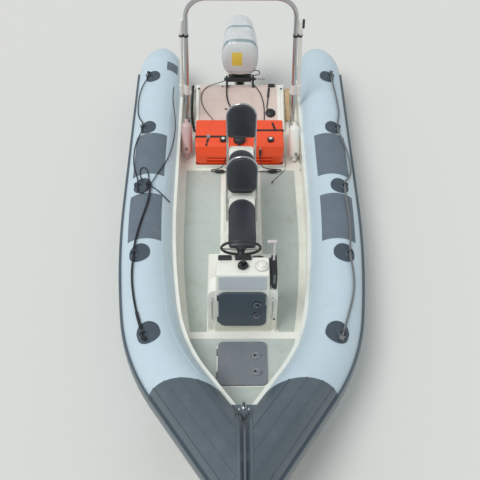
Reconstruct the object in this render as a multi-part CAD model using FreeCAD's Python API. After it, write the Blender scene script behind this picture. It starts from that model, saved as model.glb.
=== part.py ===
import FreeCAD, Part
import math
import os
from collections import namedtuple

# Open rigid inflatable boat, afloat and moored, with an outboard engine.
# Millimetres. +X to port, +Y aft, +Z up. The origin is on the waterline, on the
# centre plane, amidships.

V = FreeCAD.Vector
X_AXIS = V(1, 0, 0)
Y_AXIS = V(0, 1, 0)
Z_AXIS = V(0, 0, 1)
PORT = 1
STARBOARD = -1
SIDES = ((PORT, "port"), (STARBOARD, "starboard"))

# Clearances
SEAT_GAP = 0.3          # between a curved piece and its seat
MOVE_GAP = 6.0          # between pieces that move past each other
PIN_GAP = 0.3           # between a pin and its bore, on the radius
REACH = 4000.0          # how far a cutting block reaches, past the whole boat

# Buoyancy tubes: a straight run, two bends of growing curvature and a straight
# run to the stem, all in one plane that tips up towards the centre plane
TUBE_R = 235.0
TUBE_X = 845.0
TUBE_Z = 330.0
TUBE_RISE = 300.0       # of the centre line, from the straight run to the stem
TUBE_AFT_Y = 2430.0     # where the round part ends and the stern cone begins
TUBE_BEND_Y = 430.0
TUBE_BENDS = ((8770.0, 8.5), (1890.0, 24.3))    # radius, turn in degrees
CONE_LENGTH = 368.0
CONE_TIP_R = 122.0
CONE_BULGE = 24.0       # of the stern cone past a straight taper
TUBE_TILT = math.atan2(TUBE_RISE, TUBE_X)
STEM_OVERRUN = 420.0    # each tube is made this far past the centre plane, then cut there

# Rubber and fabric on the tubes. Angles go round the tube's section, from
# outboard in the tube's plane (0) over the top (about 109) to inboard (180)
STRAKE_ANGLE = 19.0
STRAKE_HALF_ANGLE = 12.0
STRAKE_T = 22.0
STRAKE_AFT_Y = 2400.0
WEAR_T = 2.0
WEAR_SPANS = ((656.0, 1225.0), (-160.0, 400.0))  # forward and aft end, on Y
WEAR_ANGLES = (65.0, 147.0)
CAP_T = 4.0
CAP_Y = -1665.0         # aft edge of the rubber bow caps
CAP_ANGLES = (-62.0, 166.0)
CAP_RIB_ANGLES = (52.0, 78.0, 104.0, 130.0)
CAP_RIB_W = 10.0
CAP_LEAD = 300.0        # how far aft of its edge a cap's bands start, before they are trimmed
CAP_RIB_T = 5.0
# The cap's aft edge in plan: an arc over the tube, then one down its inner side to the nose
CapEdge = namedtuple("CapEdge", "x ahead")
CAP_OVER = (CapEdge(800.0, 60.0), CapEdge(500.0, 0.0), CapEdge(240.0, 40.0))
CAP_INNER = (CapEdge(240.0, 40.0), CapEdge(135.0, 104.0), CapEdge(54.0, 205.0))
LifelinePatch = namedtuple("LifelinePatch", "y length width")
PATCHES = (
    LifelinePatch(2130.0, 170.0, 150.0),
    LifelinePatch(1319.0, 178.0, 155.0),
    LifelinePatch(504.0, 186.0, 172.0),
    LifelinePatch(-323.0, 205.0, 186.0),
    LifelinePatch(-1194.0, 218.0, 190.0),
)
PATCH_ANGLE = 94.0
EYE_ANGLE = 85.0        # the eye stands outboard of the pad's middle
PATCH_T = 5.0
DOME_R = (40.0, 30.0)   # foot and top of the moulded dome under each eye
DOME_T = 9.0
RING_R = 24.0
RING_WIRE_R = 6.0
RING_RISE = 22.0        # of the eye's centre above the pad
STERN_PATCH_Y = (2255.0, 2395.0)
STERN_PATCH_ANGLES = (128.0, 160.0)
NOSE_W = 110.0
NOSE_T = 9.0
NOSE_RIB_X = 26.0
NOSE_RIB_W = 18.0
NOSE_RIB_T = 16.0
NOSE_AFT_Y = -1848.0    # where the web between the tubes begins
NOSE_WEB_Z = 628.0
NOSE_WEB_T = 16.0
NOSE_WEB_LENGTH = 110.0
NOSE_LOW_Z = 450.0      # the nose strip ends here, above the stem
POST_Y = NOSE_AFT_Y - 20.0
POST_R = 11.0
POST_H = 82.0
POST_FOOT_R = 18.0
POST_FOOT_T = 5.0

# Hull: a deep V with chines, from keel up to the underside of the tubes
TRANSOM_Y = 2230.0
DECK_Z = 180.0
FLOOR_T = 30.0
BOW_DECK_Z = 280.0
BOW_STEP_Y = -945.0
LINER_T = 14.0
LINER_UP = 12.0         # top of the liner above the tube's centre line
CHINE_FLAT = 48.0
CHINE_DROP = 10.0
HULL_TUCK = 100.0       # how far in from the tube's centre the topside ends
RUNNER_W = 26.0
RUNNER_DROP = 15.0

# Deck covering
PANEL_T = 3.0
PANEL_EDGE = 62.0       # bare margin along the liner
PANEL_CORNER_R = 38.0
WALK_INNER_X = 300.0    # inner edge of the walkway panels beside the console

# Transom and its moulding
TRANSOM_T = 55.0
TRANSOM_TOP = 370.0
TRANSOM_HALF = 465.0
WELL_LENGTH = 540.0     # of the sloping moulding, forward from the transom's aft face
WELL_FWD_Y = TRANSOM_Y - WELL_LENGTH
WELL_RIM_W = 42.0

# Console
CONSOLE_FRONT_Y = -885.0
CONSOLE_BACK_Y = -530.0
CONSOLE_BASE_HALF = 240.0
CONSOLE_TOP_HALF = 208.0
CONSOLE_TOP_Z = 950.0
CONSOLE_TOP_AFT_Y = -705.0
CONSOLE_KNEE_Y = -560.0
CONSOLE_KNEE_Z = 600.0
CONSOLE_WALL = 9.0
CONSOLE_FLANGE = 38.0
CONSOLE_FLANGE_T = 22.0
CONSOLE_EDGE_R = 15.0
WING_HALF = 285.0       # from the centre plane to a side wing's outer face
WING_TOP_Z = 735.0
WING_SETBACK = 15.0     # of the wing's front, aft of the console's
WING_DEPTH = 150.0
WING_CORNER_R = 75.0
WING_EDGE_R = 9.0
HATCH_W = 390.0
HATCH_Z = (312.0, 737.0)
HATCH_T = 20.0
HATCH_R = 62.0
HATCH_LAP = 22.0        # how far the lid laps over the edge of its opening
HINGE_R = 7.0
HINGE_L = 60.0
RAIL_R = 6.0
RAIL_Z = (385.0, 640.0)
RAIL_X = 246.0
RAIL_STAND = 28.0       # from the wing's front to the rail's centre line
RAIL_BEND_R = 14.0
CONSOLE_TAPER = (CONSOLE_BASE_HALF - CONSOLE_TOP_HALF) / (CONSOLE_TOP_Z - DECK_Z)

# Helm
WHEEL_Y = -590.0
WHEEL_Z = 930.0
WHEEL_R = 157.0         # to the middle of the rim
WHEEL_RIM_R = 11.0
WHEEL_LEAN = 22.0       # of the wheel's axis above level, in degrees
WHEEL_X = -13.0
WHEEL_SPOKES = (0.0, 90.0, 180.0)    # degrees from port, round by the bottom
WHEEL_SHAFT_R = 10.0
COLUMN_R = 30.0
COLUMN_FLANGE_R = 50.0
COLUMN_FLANGE_T = 16.0
# Round gauges on the sloping dash: across, down the slope from its top edge, radius
Gauge = namedtuple("Gauge", "x down radius")
GAUGES = (Gauge(-142.0, 62.0, 50.0), Gauge(122.0, 58.0, 46.0))
GAUGE_T = 18.0

# Small hooded instruments on the aft edge of the console's top
Hood = namedtuple("Hood", "x width")
HOODS = (Hood(-141.0, 108.0), Hood(4.0, 132.0))
HOOD_DEPTH = 34.0
HOOD_H = 26.0

# Seats: two single saddles, one behind the other
SeatPlan = namedtuple("SeatPlan", "name front_y back_y backrest_y top_z backrest_top")
SEATS = (
    SeatPlan("front", -490.0, 35.0, 85.0, 880.0, 1285.0),
    SeatPlan("rear", 165.0, 660.0, 722.0, 880.0, 1325.0),
)
PAD_HALF = 115.0
PAD_T = 90.0
POD_TOP_HALF = 112.0
POD_BASE_HALF = 165.0
REST_HALF = 122.0
REST_T = 62.0
REST_H = 370.0
REST_TUBE_R = 11.0

# Bow locker hatch
BOW_HATCH_HALF = 200.0
BOW_HATCH_Y = (-1469.0, -1057.0)
BOW_HATCH_T = 20.0
BOW_HATCH_R = 48.0
BOW_LOCKER_FLOOR = 60.0

# Fuel tanks in their tray
TANK_W = 430.0
TANK_GAP = 12.0
TANK_MID_X = -10.0
TANK_Y = (1145.0, 1575.0)
TANK_H = 265.0
TANK_EDGE_R = 17.0
TANK_CORNER_R = 48.0
TANK_CAP_X = {"port": 85.0, "starboard": 60.0}
TANK_CAP_BACK = 98.0    # aft of the tank's front
TANK_GRIP_R = 11.0
TANK_GRIP_HALF = 105.0
TANK_GRIP_Z = (58.0, 128.0)     # foot and top of the grip's recess
TANK_GRIP_DEPTH = 42.0
STRAP_W = 26.0
STRAP_T = 2.5
STRAP_Y = {"port": 1395.0, "starboard": 1300.0}
TRAY_T = 8.0
TRAY_LIP = 34.0
CAP_R = 32.0

# Arch
ARCH_R = 22.0
ARCH_BASE_X = 545.0
ARCH_TOP_X = 518.0
ARCH_BASE_Y = TRANSOM_Y - 440.0
ARCH_TOP_Y = ARCH_BASE_Y + 15.0
ARCH_TOP_Z = 1695.0
ARCH_CORNER_R = 200.0
POLE_R = 17.0
POLE_FOOT = (594.0, 560.0)      # x and z of each pole's ends
POLE_HEAD = (567.0, 1450.0)
# Clamps that hold a pole beside its arch leg: middle height, height, wall
PoleClamp = namedtuple("PoleClamp", "z height wall")
POLE_CLAMPS = (PoleClamp(655.0, 110.0, 6.0), PoleClamp(1290.0, 22.0, 4.0))

# Fenders
FENDER_R = 56.0
FENDER_LENGTH = 222.0
FENDER_LEAN = 36.0      # from upright, its foot forward
FENDER_NECK_R = 20.0
FENDER_NECK = 26.0      # of the necks past the round ends
FENDER_HOLE_R = 8.0     # for its lanyard, through each neck
FENDER_HOLE_IN = 14.0   # from the neck's end
Fender = namedtuple("Fender", "y z")    # the middle of its upper round end
FENDERS = {"port": Fender(1400.0, 452.0), "starboard": Fender(1440.0, 455.0)}

# Outboard engine
BRACKET_HALF = 150.0
BRACKET_PLATE = 22.0
TILT_Y = TRANSOM_Y + 32.0
TILT_Z = TRANSOM_TOP + 55.0
TILT_R = 16.0
STEER_Y = TILT_Y + 83.0
STEER_R = 17.0
SWIVEL_R = 38.0
SWIVEL_Z = (-20.0, 400.0)
LEG_Y = STEER_Y + 145.0
PLATE_Z = -285.0
PROP_Z = -475.0
PROP_Y = LEG_Y + 200.0
PROP_R = 175.0
PROP_HUB_R = 50.0
PROP_BLADES = 3
# The cowling's sections, from its lower pan to its crown: height over the tilt tube, front and
# aft end from the tilt tube, half widths in front and aft, and front corner radius
CowlSection = namedtuple("CowlSection", "z front aft half_front half_aft corner")
PAN = (
    CowlSection(75.0, -6.0, 452.0, 112.0, 96.0, 40.0),
    CowlSection(118.0, -66.0, 482.0, 146.0, 122.0, 56.0),
    CowlSection(158.0, -82.0, 494.0, 166.0, 136.0, 62.0),
)
COVER = (
    CowlSection(164.0, -84.0, 496.0, 170.0, 140.0, 64.0),
    CowlSection(240.0, -92.0, 502.0, 186.0, 152.0, 70.0),
    CowlSection(330.0, -90.0, 500.0, 190.0, 152.0, 74.0),
    CowlSection(410.0, -74.0, 488.0, 176.0, 138.0, 72.0),
    CowlSection(475.0, -40.0, 462.0, 150.0, 112.0, 64.0),
    CowlSection(514.0, 20.0, 420.0, 112.0, 78.0, 48.0),
    CowlSection(526.0, 70.0, 380.0, 76.0, 50.0, 34.0),
)
COWL_FOOT = PAN[0].z + TILT_Z
COWL_BULGE = 10.0       # of the front and of each side, past a flat face
COWL_SEAM = 5.0         # depth of the groove between pan and cover
ENGINE_HALF = 108.0     # the engine itself, under the cover
ENGINE_Y = (40.0, 400.0)        # from the tilt tube
ENGINE_Z = (125.0, 385.0)       # over the tilt tube

# Ropes. Marks on a rope's route give the place along the tube, the angle round its
# section and the distance from its centre line
RopeMark = namedtuple("RopeMark", "y angle radius")
PORT_LINE_D = 20.0
PORT_LINE = (
    (2168, 85, 261), (2072, 85, 261), (1935, 80, 253), (1760, 75.5, 250), (1560, 73, 250), (1386, 84.5, 261),
    (1258, 85, 261), (1160, 74, 252), (1030, 62, 250), (880, 56, 250), (735, 59, 250), (630, 71, 252),
    (556, 84, 261), (450, 86, 261), (330, 85, 253), (190, 82, 250), (30, 80, 250), (-120, 81, 252),
    (-262, 85, 261), (-385, 84, 261), (-500, 77, 252), (-640, 72.5, 250), (-790, 75, 250), (-930, 80, 250),
    (-1040, 83.5, 254), (-1140, 85, 261), (-1234, 85, 261),
)
STARBOARD_LINE_D = 12.0
STARBOARD_LINE = (
    (2168, 85, 261), (2096, 84, 261), (2040, 71, 252), (1955, 60.5, 248), (1840, 56, 247), (1710, 57, 247),
    (1585, 61.5, 247), (1478, 71, 249), (1384, 83.5, 261), (1262, 84, 261), (1190, 71, 250), (1095, 63.5, 247),
    (980, 62, 247), (855, 65.5, 247), (735, 72, 248), (636, 80.5, 254), (552, 86, 261), (466, 87, 261),
    (412, 87.5, 259), (387, 93, 256), (387, 101, 255), (412, 106.5, 256), (456, 107, 259),
)
MOORING_ROPE_D = 20.0
MOORING_ROPE = (
    (458, 113, 259), (340, 112.5, 252), (195, 107, 250), (50, 99, 250), (-95, 91.5, 252), (-258, 86, 261),
    (-382, 84.5, 261), (-495, 79.5, 253), (-640, 78, 250), (-790, 79.5, 250), (-930, 82, 250), (-1040, 84, 254),
    (-1140, 85, 261), (-1234, 85, 261),
)
ARCH_LINE_D = 10.0
ARCH_LINE = (
    (500, 114, 257), (600, 121, 248), (720, 132, 247), (850, 143.5, 247), (990, 152.5, 247), (1130, 158, 247),
    (1270, 161.5, 247), (1395, 161, 256), (1510, 153, 280), (1610, 143, 318), (1690, 137, 364), (1762, 135, 416),
)
# Knots in the ropes, each lying on a patch: where, and the outer radius
Knot = namedtuple("Knot", "y angle size")
PORT_KNOTS = (Knot(2186.0, 85.0, 25.0), Knot(-1254.0, 85.0, 25.0))
STARBOARD_KNOTS = (Knot(2182.0, 85.0, 20.0), Knot(478.0, 110.0, 31.0), Knot(-1254.0, 85.0, 25.0))

CONSOLE_HINGE = (-HATCH_W / 2.0 - HINGE_R + 1.0, CONSOLE_FRONT_Y - SEAT_GAP - HINGE_R)
BOW_HINGE = (-BOW_HATCH_HALF - HINGE_R + 1.0, BOW_DECK_Z + SEAT_GAP + HINGE_R)

parts = {}


def box(x_span, y_span, z_span):
    """A block between two values on each axis."""
    return Part.makeBox(x_span[1] - x_span[0], y_span[1] - y_span[0], z_span[1] - z_span[0],
                        V(x_span[0], y_span[0], z_span[0]))


def rod(start, end, radius):
    """A round bar from one point to another."""
    run = end - start
    return Part.makeCylinder(radius, run.Length, start, run)


def prism(points, run):
    """A flat outline of straight edges, extruded."""
    return Part.Face(Part.makePolygon(points + [points[0]])).extrude(run)


def rounded_outline(centre, right, up, width, height, radius):
    """A rectangle with round corners, in the plane of two unit vectors."""
    def at(a, b):
        return centre + right * a + up * b
    w = width / 2.0
    h = height / 2.0
    r = min(radius, w - 0.1, h - 0.1)
    d = r * (1.0 - math.sqrt(0.5))
    edges = []
    corners = ((1, 1), (-1, 1), (-1, -1), (1, -1))
    for i, (sx, sy) in enumerate(corners):
        along_first = sx * sy > 0
        a = at(sx * w, sy * (h - r)) if along_first else at(sx * (w - r), sy * h)
        b = at(sx * (w - r), sy * h) if along_first else at(sx * w, sy * (h - r))
        mid = at(sx * (w - d), sy * (h - d))
        edges.append(Part.Arc(a, mid, b).toShape())
        nx, ny = corners[(i + 1) % 4]
        follow_first = nx * ny > 0
        c = at(nx * w, ny * (h - r)) if follow_first else at(nx * (w - r), ny * h)
        edges.append(Part.LineSegment(b, c).toShape())
    return Part.Wire(edges)


def rounded_plate(centre, right, up, width, height, radius, run):
    """A plate with round corners."""
    return Part.Face(rounded_outline(centre, right, up, width, height, radius)).extrude(run)


def level_loft(sections, ruled=True):
    """Loft level rounded rectangles: (z, centre x, centre y, width, length, radius)."""
    wires = [rounded_outline(V(x, y, z), X_AXIS, Y_AXIS, w, l, r) for z, x, y, w, l, r in sections]
    return Part.makeLoft(wires, True, ruled)


def bent_wire(points, radii):
    """Straight runs joined by tangent arcs, one radius for each inner point."""
    edges = []
    start = points[0]
    for i in range(1, len(points) - 1):
        into = (points[i] - points[i - 1]).normalize()
        out = (points[i + 1] - points[i]).normalize()
        turn = into.getAngle(out)
        setback = radii[i - 1] * math.tan(turn / 2.0)
        a = points[i] - into * setback
        b = points[i] + out * setback
        bisector = (out - into).normalize()
        centre = points[i] + bisector * (radii[i - 1] / math.cos(turn / 2.0))
        edges.append(Part.LineSegment(start, a).toShape())
        edges.append(Part.Arc(a, centre - bisector * radii[i - 1], b).toShape())
        start = b
    edges.append(Part.LineSegment(start, points[-1]).toShape())
    return Part.Wire(edges)


def bent_tube(points, radii, radius):
    """A round tube along a bent wire."""
    path = bent_wire(points, radii)
    ring = Part.Wire(Part.makeCircle(radius, points[0], points[1] - points[0]))
    return path.makePipeShell([ring], True, False)


def fused(shapes):
    """One shape of several that touch."""
    whole = shapes[0]
    if len(shapes) > 1:
        whole = whole.multiFuse(shapes[1:])
    return whole.removeSplitter()


def mirrored(shape):
    """The same piece on the other side of the centre plane."""
    return shape.mirror(V(0, 0, 0), X_AXIS)


Stretch = namedtuple("Stretch", "start heading length radius turn")


def tube_stretches(aft_y):
    """The tube's centre line forward of aft_y, in its own plane, as (inboard, y), headings in radians."""
    stretches = []
    if aft_y > TUBE_BEND_Y:
        stretches.append(Stretch((0.0, aft_y), 0.0, aft_y - TUBE_BEND_Y, 0.0, 0.0))
    u = 0.0
    y = TUBE_BEND_Y
    heading = 0.0
    for radius, degrees in TUBE_BENDS:
        end = heading + math.radians(degrees)
        end_y = y - radius * (math.sin(end) - math.sin(heading))
        end_u = u + radius * (math.cos(heading) - math.cos(end))
        if aft_y > end_y:
            if aft_y < y:
                late = math.asin(math.sin(heading) + (y - aft_y) / radius)
                u += radius * (math.cos(heading) - math.cos(late))
                y = aft_y
                heading = late
            stretches.append(Stretch((u, y), heading, 0.0, radius, end - heading))
        u = end_u
        y = end_y
        heading = end
    if aft_y < y:
        u += (y - aft_y) * math.tan(heading)
        y = aft_y
    length = (TUBE_X / math.cos(TUBE_TILT) - u) / math.sin(heading) + STEM_OVERRUN
    stretches.append(Stretch((u, y), heading, length, 0.0, 0.0))
    return stretches


def in_space(u, y):
    """A point of the port tube's plane as a point in space."""
    return V(TUBE_X - u * math.cos(TUBE_TILT), y, TUBE_Z + u * math.sin(TUBE_TILT))


def heading_vector(heading):
    """The way forward along the port tube."""
    inboard = V(-math.cos(TUBE_TILT), 0, math.sin(TUBE_TILT))
    return inboard * math.sin(heading) - Y_AXIS * math.cos(heading)


def outward_vector(heading):
    """Outboard across the port tube, in the tube's plane."""
    inboard = V(-math.cos(TUBE_TILT), 0, math.sin(TUBE_TILT))
    return (inboard * math.cos(heading) + Y_AXIS * math.sin(heading)) * -1.0


PLANE_UP = V(math.sin(TUBE_TILT), 0, math.cos(TUBE_TILT))


def tube_centre(y):
    """Centre point and heading of the port tube where it passes a given y."""
    for stretch in tube_stretches(TUBE_AFT_Y + CONE_LENGTH):
        u, start_y = stretch.start
        if stretch.radius:
            sine = math.sin(stretch.heading) + (start_y - y) / stretch.radius
            heading = math.asin(max(-1.0, min(1.0, sine)))
            if heading <= stretch.heading + stretch.turn:
                u += stretch.radius * (math.cos(stretch.heading) - math.cos(heading))
                return in_space(u, y), heading
        else:
            run = (start_y - y) / math.cos(stretch.heading)
            if run <= stretch.length:
                return in_space(u + run * math.sin(stretch.heading), y), stretch.heading
    raise ValueError("no tube there")


def ring_face(origin, outward, inner, outer, angles):
    """A part of a ring between two angles, in a section of the tube."""
    def at(radius, degrees):
        a = math.radians(degrees)
        return origin + (outward * math.cos(a) + PLANE_UP * math.sin(a)) * radius
    lo, hi = angles
    mid = (lo + hi) / 2.0
    edges = [Part.Arc(at(outer, lo), at(outer, mid), at(outer, hi)).toShape(),
             Part.LineSegment(at(outer, hi), at(inner, hi)).toShape(),
             Part.Arc(at(inner, hi), at(inner, mid), at(inner, lo)).toShape(),
             Part.LineSegment(at(inner, lo), at(outer, lo)).toShape()]
    return Part.Face(Part.Wire(edges))


def disc_face(origin, heading, radius):
    """The tube's whole round section."""
    return Part.Face(Part.Wire(Part.makeCircle(radius, origin, heading)))


def along_tube(section, aft_y):
    """Carry a section along the port tube, forward from aft_y to the stem."""
    pieces = []
    for stretch in tube_stretches(aft_y):
        origin = in_space(*stretch.start)
        face = section(origin, outward_vector(stretch.heading), heading_vector(stretch.heading))
        if stretch.radius:
            centre = origin - outward_vector(stretch.heading) * stretch.radius
            pieces.append(face.revolve(centre, PLANE_UP, -math.degrees(stretch.turn)))
        else:
            pieces.append(face.extrude(heading_vector(stretch.heading) * stretch.length))
    pieces[-1] = pieces[-1].common(box((0, REACH), (-REACH, REACH), (-REACH, REACH)))
    return fused(pieces)


def tube_body(radius):
    """The port tube with its stern cone, at a given radius."""
    grow = radius - TUBE_R
    run = along_tube(lambda o, out, ahead: disc_face(o, ahead, radius), TUBE_AFT_Y)
    axis_start = V(TUBE_X, TUBE_AFT_Y, TUBE_Z)
    tip_y = TUBE_AFT_Y + CONE_LENGTH + grow
    tip_r = CONE_TIP_R + grow
    shoulder = V(TUBE_X + radius, TUBE_AFT_Y, TUBE_Z)
    belly = V(TUBE_X + (radius + tip_r) / 2.0 + CONE_BULGE, (TUBE_AFT_Y + tip_y) / 2.0, TUBE_Z)
    rim = V(TUBE_X + tip_r, tip_y - 30.0, TUBE_Z)
    rim_mid = V(TUBE_X + tip_r * 0.8, tip_y - 9.0, TUBE_Z)
    rim_end = V(TUBE_X + tip_r * 0.45, tip_y, TUBE_Z)
    tip = V(TUBE_X, tip_y, TUBE_Z)
    profile = Part.Face(Part.Wire([
        Part.LineSegment(axis_start, shoulder).toShape(),
        Part.Arc(shoulder, belly, rim).toShape(),
        Part.Arc(rim, rim_mid, rim_end).toShape(),
        Part.LineSegment(rim_end, tip).toShape(),
        Part.LineSegment(tip, axis_start).toShape()]))
    cone = profile.revolve(axis_start, Y_AXIS, 360.0)
    return run.fuse(cone).removeSplitter()


PORT_TUBE = tube_body(TUBE_R)
PORT_SEAT = tube_body(TUBE_R + SEAT_GAP)
PATCH_SKIN = tube_body(TUBE_R + PATCH_T)
BOTH_SEATS = [PORT_SEAT, mirrored(PORT_SEAT)]


def clear_of_tubes(shape):
    """Cut away what the tubes fill."""
    return shape.cut(BOTH_SEATS[0]).cut(BOTH_SEATS[1])


def make_tubes():
    """Two buoyancy tubes that meet at the stem."""
    parts["tube_port"] = PORT_TUBE
    parts["tube_starboard"] = mirrored(PORT_TUBE)


def stepped_ring(origin, outward, inner, bands):
    """A ring section whose outer edge steps: bands are (from angle, to angle, outer radius), in order."""
    def at(radius, degrees):
        a = math.radians(degrees)
        return origin + (outward * math.cos(a) + PLANE_UP * math.sin(a)) * radius
    edges = []
    last = at(inner, bands[0][0])
    for lo, hi, outer in bands:
        edges.append(Part.LineSegment(last, at(outer, lo)).toShape())
        edges.append(Part.Arc(at(outer, lo), at(outer, (lo + hi) / 2.0), at(outer, hi)).toShape())
        last = at(outer, hi)
    first_angle = bands[0][0]
    last_angle = bands[-1][1]
    mid_angle = (first_angle + last_angle) / 2.0
    edges.append(Part.LineSegment(last, at(inner, last_angle)).toShape())
    edges.append(Part.Arc(at(inner, last_angle), at(inner, mid_angle), at(inner, first_angle)).toShape())
    return Part.Face(Part.Wire(edges))


def cap_bands():
    """The bow cap's outer steps: the strake that runs into it, then the raised ribs."""
    plain = TUBE_R + CAP_T
    half = math.degrees(CAP_RIB_W / 2.0 / TUBE_R)
    raised = [(STRAKE_ANGLE - STRAKE_HALF_ANGLE, STRAKE_ANGLE + STRAKE_HALF_ANGLE, TUBE_R + STRAKE_T)]
    raised += [(angle - half, angle + half, plain + CAP_RIB_T) for angle in CAP_RIB_ANGLES]
    bands = []
    angle = CAP_ANGLES[0]
    for lo, hi, outer in raised:
        bands.append((angle, lo, plain))
        bands.append((lo, hi, outer))
        angle = hi
    bands.append((angle, CAP_ANGLES[1], plain))
    return bands


def make_tube_trim():
    """Rub strakes, wear patches, bow caps and lifeline patches."""
    skin = TUBE_R + SEAT_GAP
    strake_angles = (STRAKE_ANGLE - STRAKE_HALF_ANGLE, STRAKE_ANGLE + STRAKE_HALF_ANGLE)
    strake = along_tube(lambda o, out, ahead: ring_face(o, out, skin, TUBE_R + STRAKE_T, strake_angles),
                        STRAKE_AFT_Y)
    strake = strake.cut(cap_zone(SEAT_GAP))
    cap = along_tube(lambda o, out, ahead: stepped_ring(o, out, skin, cap_bands()), CAP_Y + CAP_LEAD)
    cap = cap.common(cap_zone(0.0)).cut(box((-REACH, NOSE_W / 2.0 + 1.0), (-REACH, REACH), (-REACH, REACH)))
    wear = []
    for forward_y, aft_y in WEAR_SPANS:
        band = along_tube(lambda o, out, ahead: ring_face(o, out, skin, TUBE_R + WEAR_T, WEAR_ANGLES), aft_y)
        wear.append(band.cut(box((-REACH, REACH), (-REACH, forward_y), (-REACH, REACH))))
    patches = [lifeline_patch(patch) for patch in PATCHES]
    for side, name in SIDES:
        spare = [stern_patch()] if side == STARBOARD else []
        pieces = {"rub_strake": strake, "bow_cap": cap,
                  "wear_patches": Part.makeCompound(wear + spare), "line_patches": Part.makeCompound(patches)}
        for kind, shape in pieces.items():
            parts[kind + "_" + name] = shape if side == PORT else mirrored(shape)


def cap_zone(lead):
    """Everything forward of the bow caps' aft edge, moved aft by a lead."""
    def at(mark):
        return V(mark.x, CAP_Y - mark.ahead + lead, -REACH)
    start = at(CAP_OVER[0])
    end = at(CAP_INNER[-1])
    outline = [Part.LineSegment(V(REACH, start.y, -REACH), start).toShape(),
               Part.Arc(*[at(mark) for mark in CAP_OVER]).toShape(),
               Part.Arc(*[at(mark) for mark in CAP_INNER]).toShape(),
               Part.LineSegment(end, V(0, end.y, -REACH)).toShape(),
               Part.LineSegment(V(0, end.y, -REACH), V(0, -REACH, -REACH)).toShape(),
               Part.LineSegment(V(0, -REACH, -REACH), V(REACH, -REACH, -REACH)).toShape(),
               Part.LineSegment(V(REACH, -REACH, -REACH), V(REACH, start.y, -REACH)).toShape()]
    return Part.Face(Part.Wire(outline)).extrude(V(0, 0, 2.0 * REACH))


def tube_normal(heading, degrees):
    """The way out of the port tube at an angle round its section."""
    angle = math.radians(degrees)
    return outward_vector(heading) * math.cos(angle) + PLANE_UP * math.sin(angle)


def lifeline_patch(patch):
    """An oval pad bonded to the tube, with a dome and an eye for the lifeline."""
    centre, heading = tube_centre(patch.y)
    ahead = heading_vector(heading)
    normal = tube_normal(heading, PATCH_ANGLE)
    across = normal.cross(ahead)
    oval = rounded_plate(centre, ahead, across, patch.length, patch.width, patch.width / 2.0 - 1.0,
                         normal * (2.0 * TUBE_R))
    pad = oval.common(PATCH_SKIN).cut(PORT_SEAT)
    out = tube_normal(heading, EYE_ANGLE)
    top = centre + out * (TUBE_R + PATCH_T - 1.0)
    dome = Part.makeCone(DOME_R[0], DOME_R[1], DOME_T, top, out)
    eye = Part.makeTorus(RING_R, RING_WIRE_R, top + out * RING_RISE, ahead)
    return fused([pad, dome, eye]).cut(PORT_SEAT)


def stern_patch():
    """A small spare patch on the inner side of the stern."""
    skin = TUBE_R + SEAT_GAP
    band = along_tube(lambda o, out, ahead: ring_face(o, out, skin, TUBE_R + WEAR_T, STERN_PATCH_ANGLES),
                      STERN_PATCH_Y[1])
    return band.cut(box((-REACH, REACH), (-REACH, STERN_PATCH_Y[0]), (-REACH, REACH)))


HullStation = namedtuple("HullStation", "y keel_z chine_x chine_z")
HULL_STATIONS = (
    HullStation(TRANSOM_Y, -265.0, 700.0, -5.0),
    HullStation(600.0, -268.0, 705.0, 0.0),
    HullStation(-450.0, -262.0, 668.0, 18.0),
    HullStation(-1150.0, -222.0, 540.0, 72.0),
    HullStation(-1700.0, -110.0, 330.0, 165.0),
    HullStation(-2100.0, 70.0, 150.0, 275.0),
    HullStation(-2440.0, 345.0, 16.0, 400.0),
)


def hull_section(station):
    """Half a V with chine flat and topside, mirrored into one closed outline."""
    centre, heading = tube_centre(station.y)
    edge_x = max(centre.x - HULL_TUCK, 12.0) if station.y > BOW_STEP_Y else max(centre.x, 20.0)
    half = [(station.chine_x - CHINE_FLAT * station.chine_x / TUBE_X, station.chine_z - CHINE_DROP / 2.0),
            (station.chine_x, station.chine_z),
            (edge_x, centre.z - 0.86 * TUBE_R),
            (edge_x, centre.z - 0.5 * TUBE_R)]
    right = [V(x, station.y, z) for x, z in half]
    left = [V(-x, station.y, z) for x, z in reversed(half)]
    return Part.makePolygon([V(0, station.y, station.keel_z)] + right + left + [V(0, station.y, station.keel_z)])


def liner_outline(offset, z, aft_y):
    """The closed plan outline that runs inside both tubes at an offset from their centre lines."""
    def at(y):
        centre, heading = tube_centre(y)
        slope = math.atan(math.tan(heading) * math.cos(TUBE_TILT))
        return V(centre.x - offset * math.cos(slope), centre.y + offset * math.sin(slope), z)
    marks = []
    y = TUBE_BEND_Y
    heading = 0.0
    for radius, degrees in TUBE_BENDS:
        turn = math.radians(degrees)
        mid_y = y - radius * (math.sin(heading + turn / 2.0) - math.sin(heading))
        end_y = y - radius * (math.sin(heading + turn) - math.sin(heading))
        marks.append((at(y), at(mid_y), at(end_y)))
        y = end_y
        heading += turn
    last = marks[-1][2]
    ahead = at(y - 300.0) - last
    nose = last + ahead * (last.x / -ahead.x)
    first = V(marks[0][0].x, aft_y, z)
    right = [Part.LineSegment(first, marks[0][0]).toShape()]
    right += [Part.Arc(a, b, c).toShape() for a, b, c in marks]
    right.append(Part.LineSegment(last, nose).toShape())
    left = [edge.mirror(V(0, 0, 0), X_AXIS) for edge in right]
    stern = Part.LineSegment(V(-first.x, aft_y, z), first).toShape()
    return Part.Wire(Part.__sortEdges__(right + left + [stern]))


def liner_prism(offset, z_span, aft_y):
    """The liner's plan, extruded."""
    return Part.Face(liner_outline(offset, z_span[0], aft_y)).extrude(V(0, 0, z_span[1] - z_span[0]))


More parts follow.
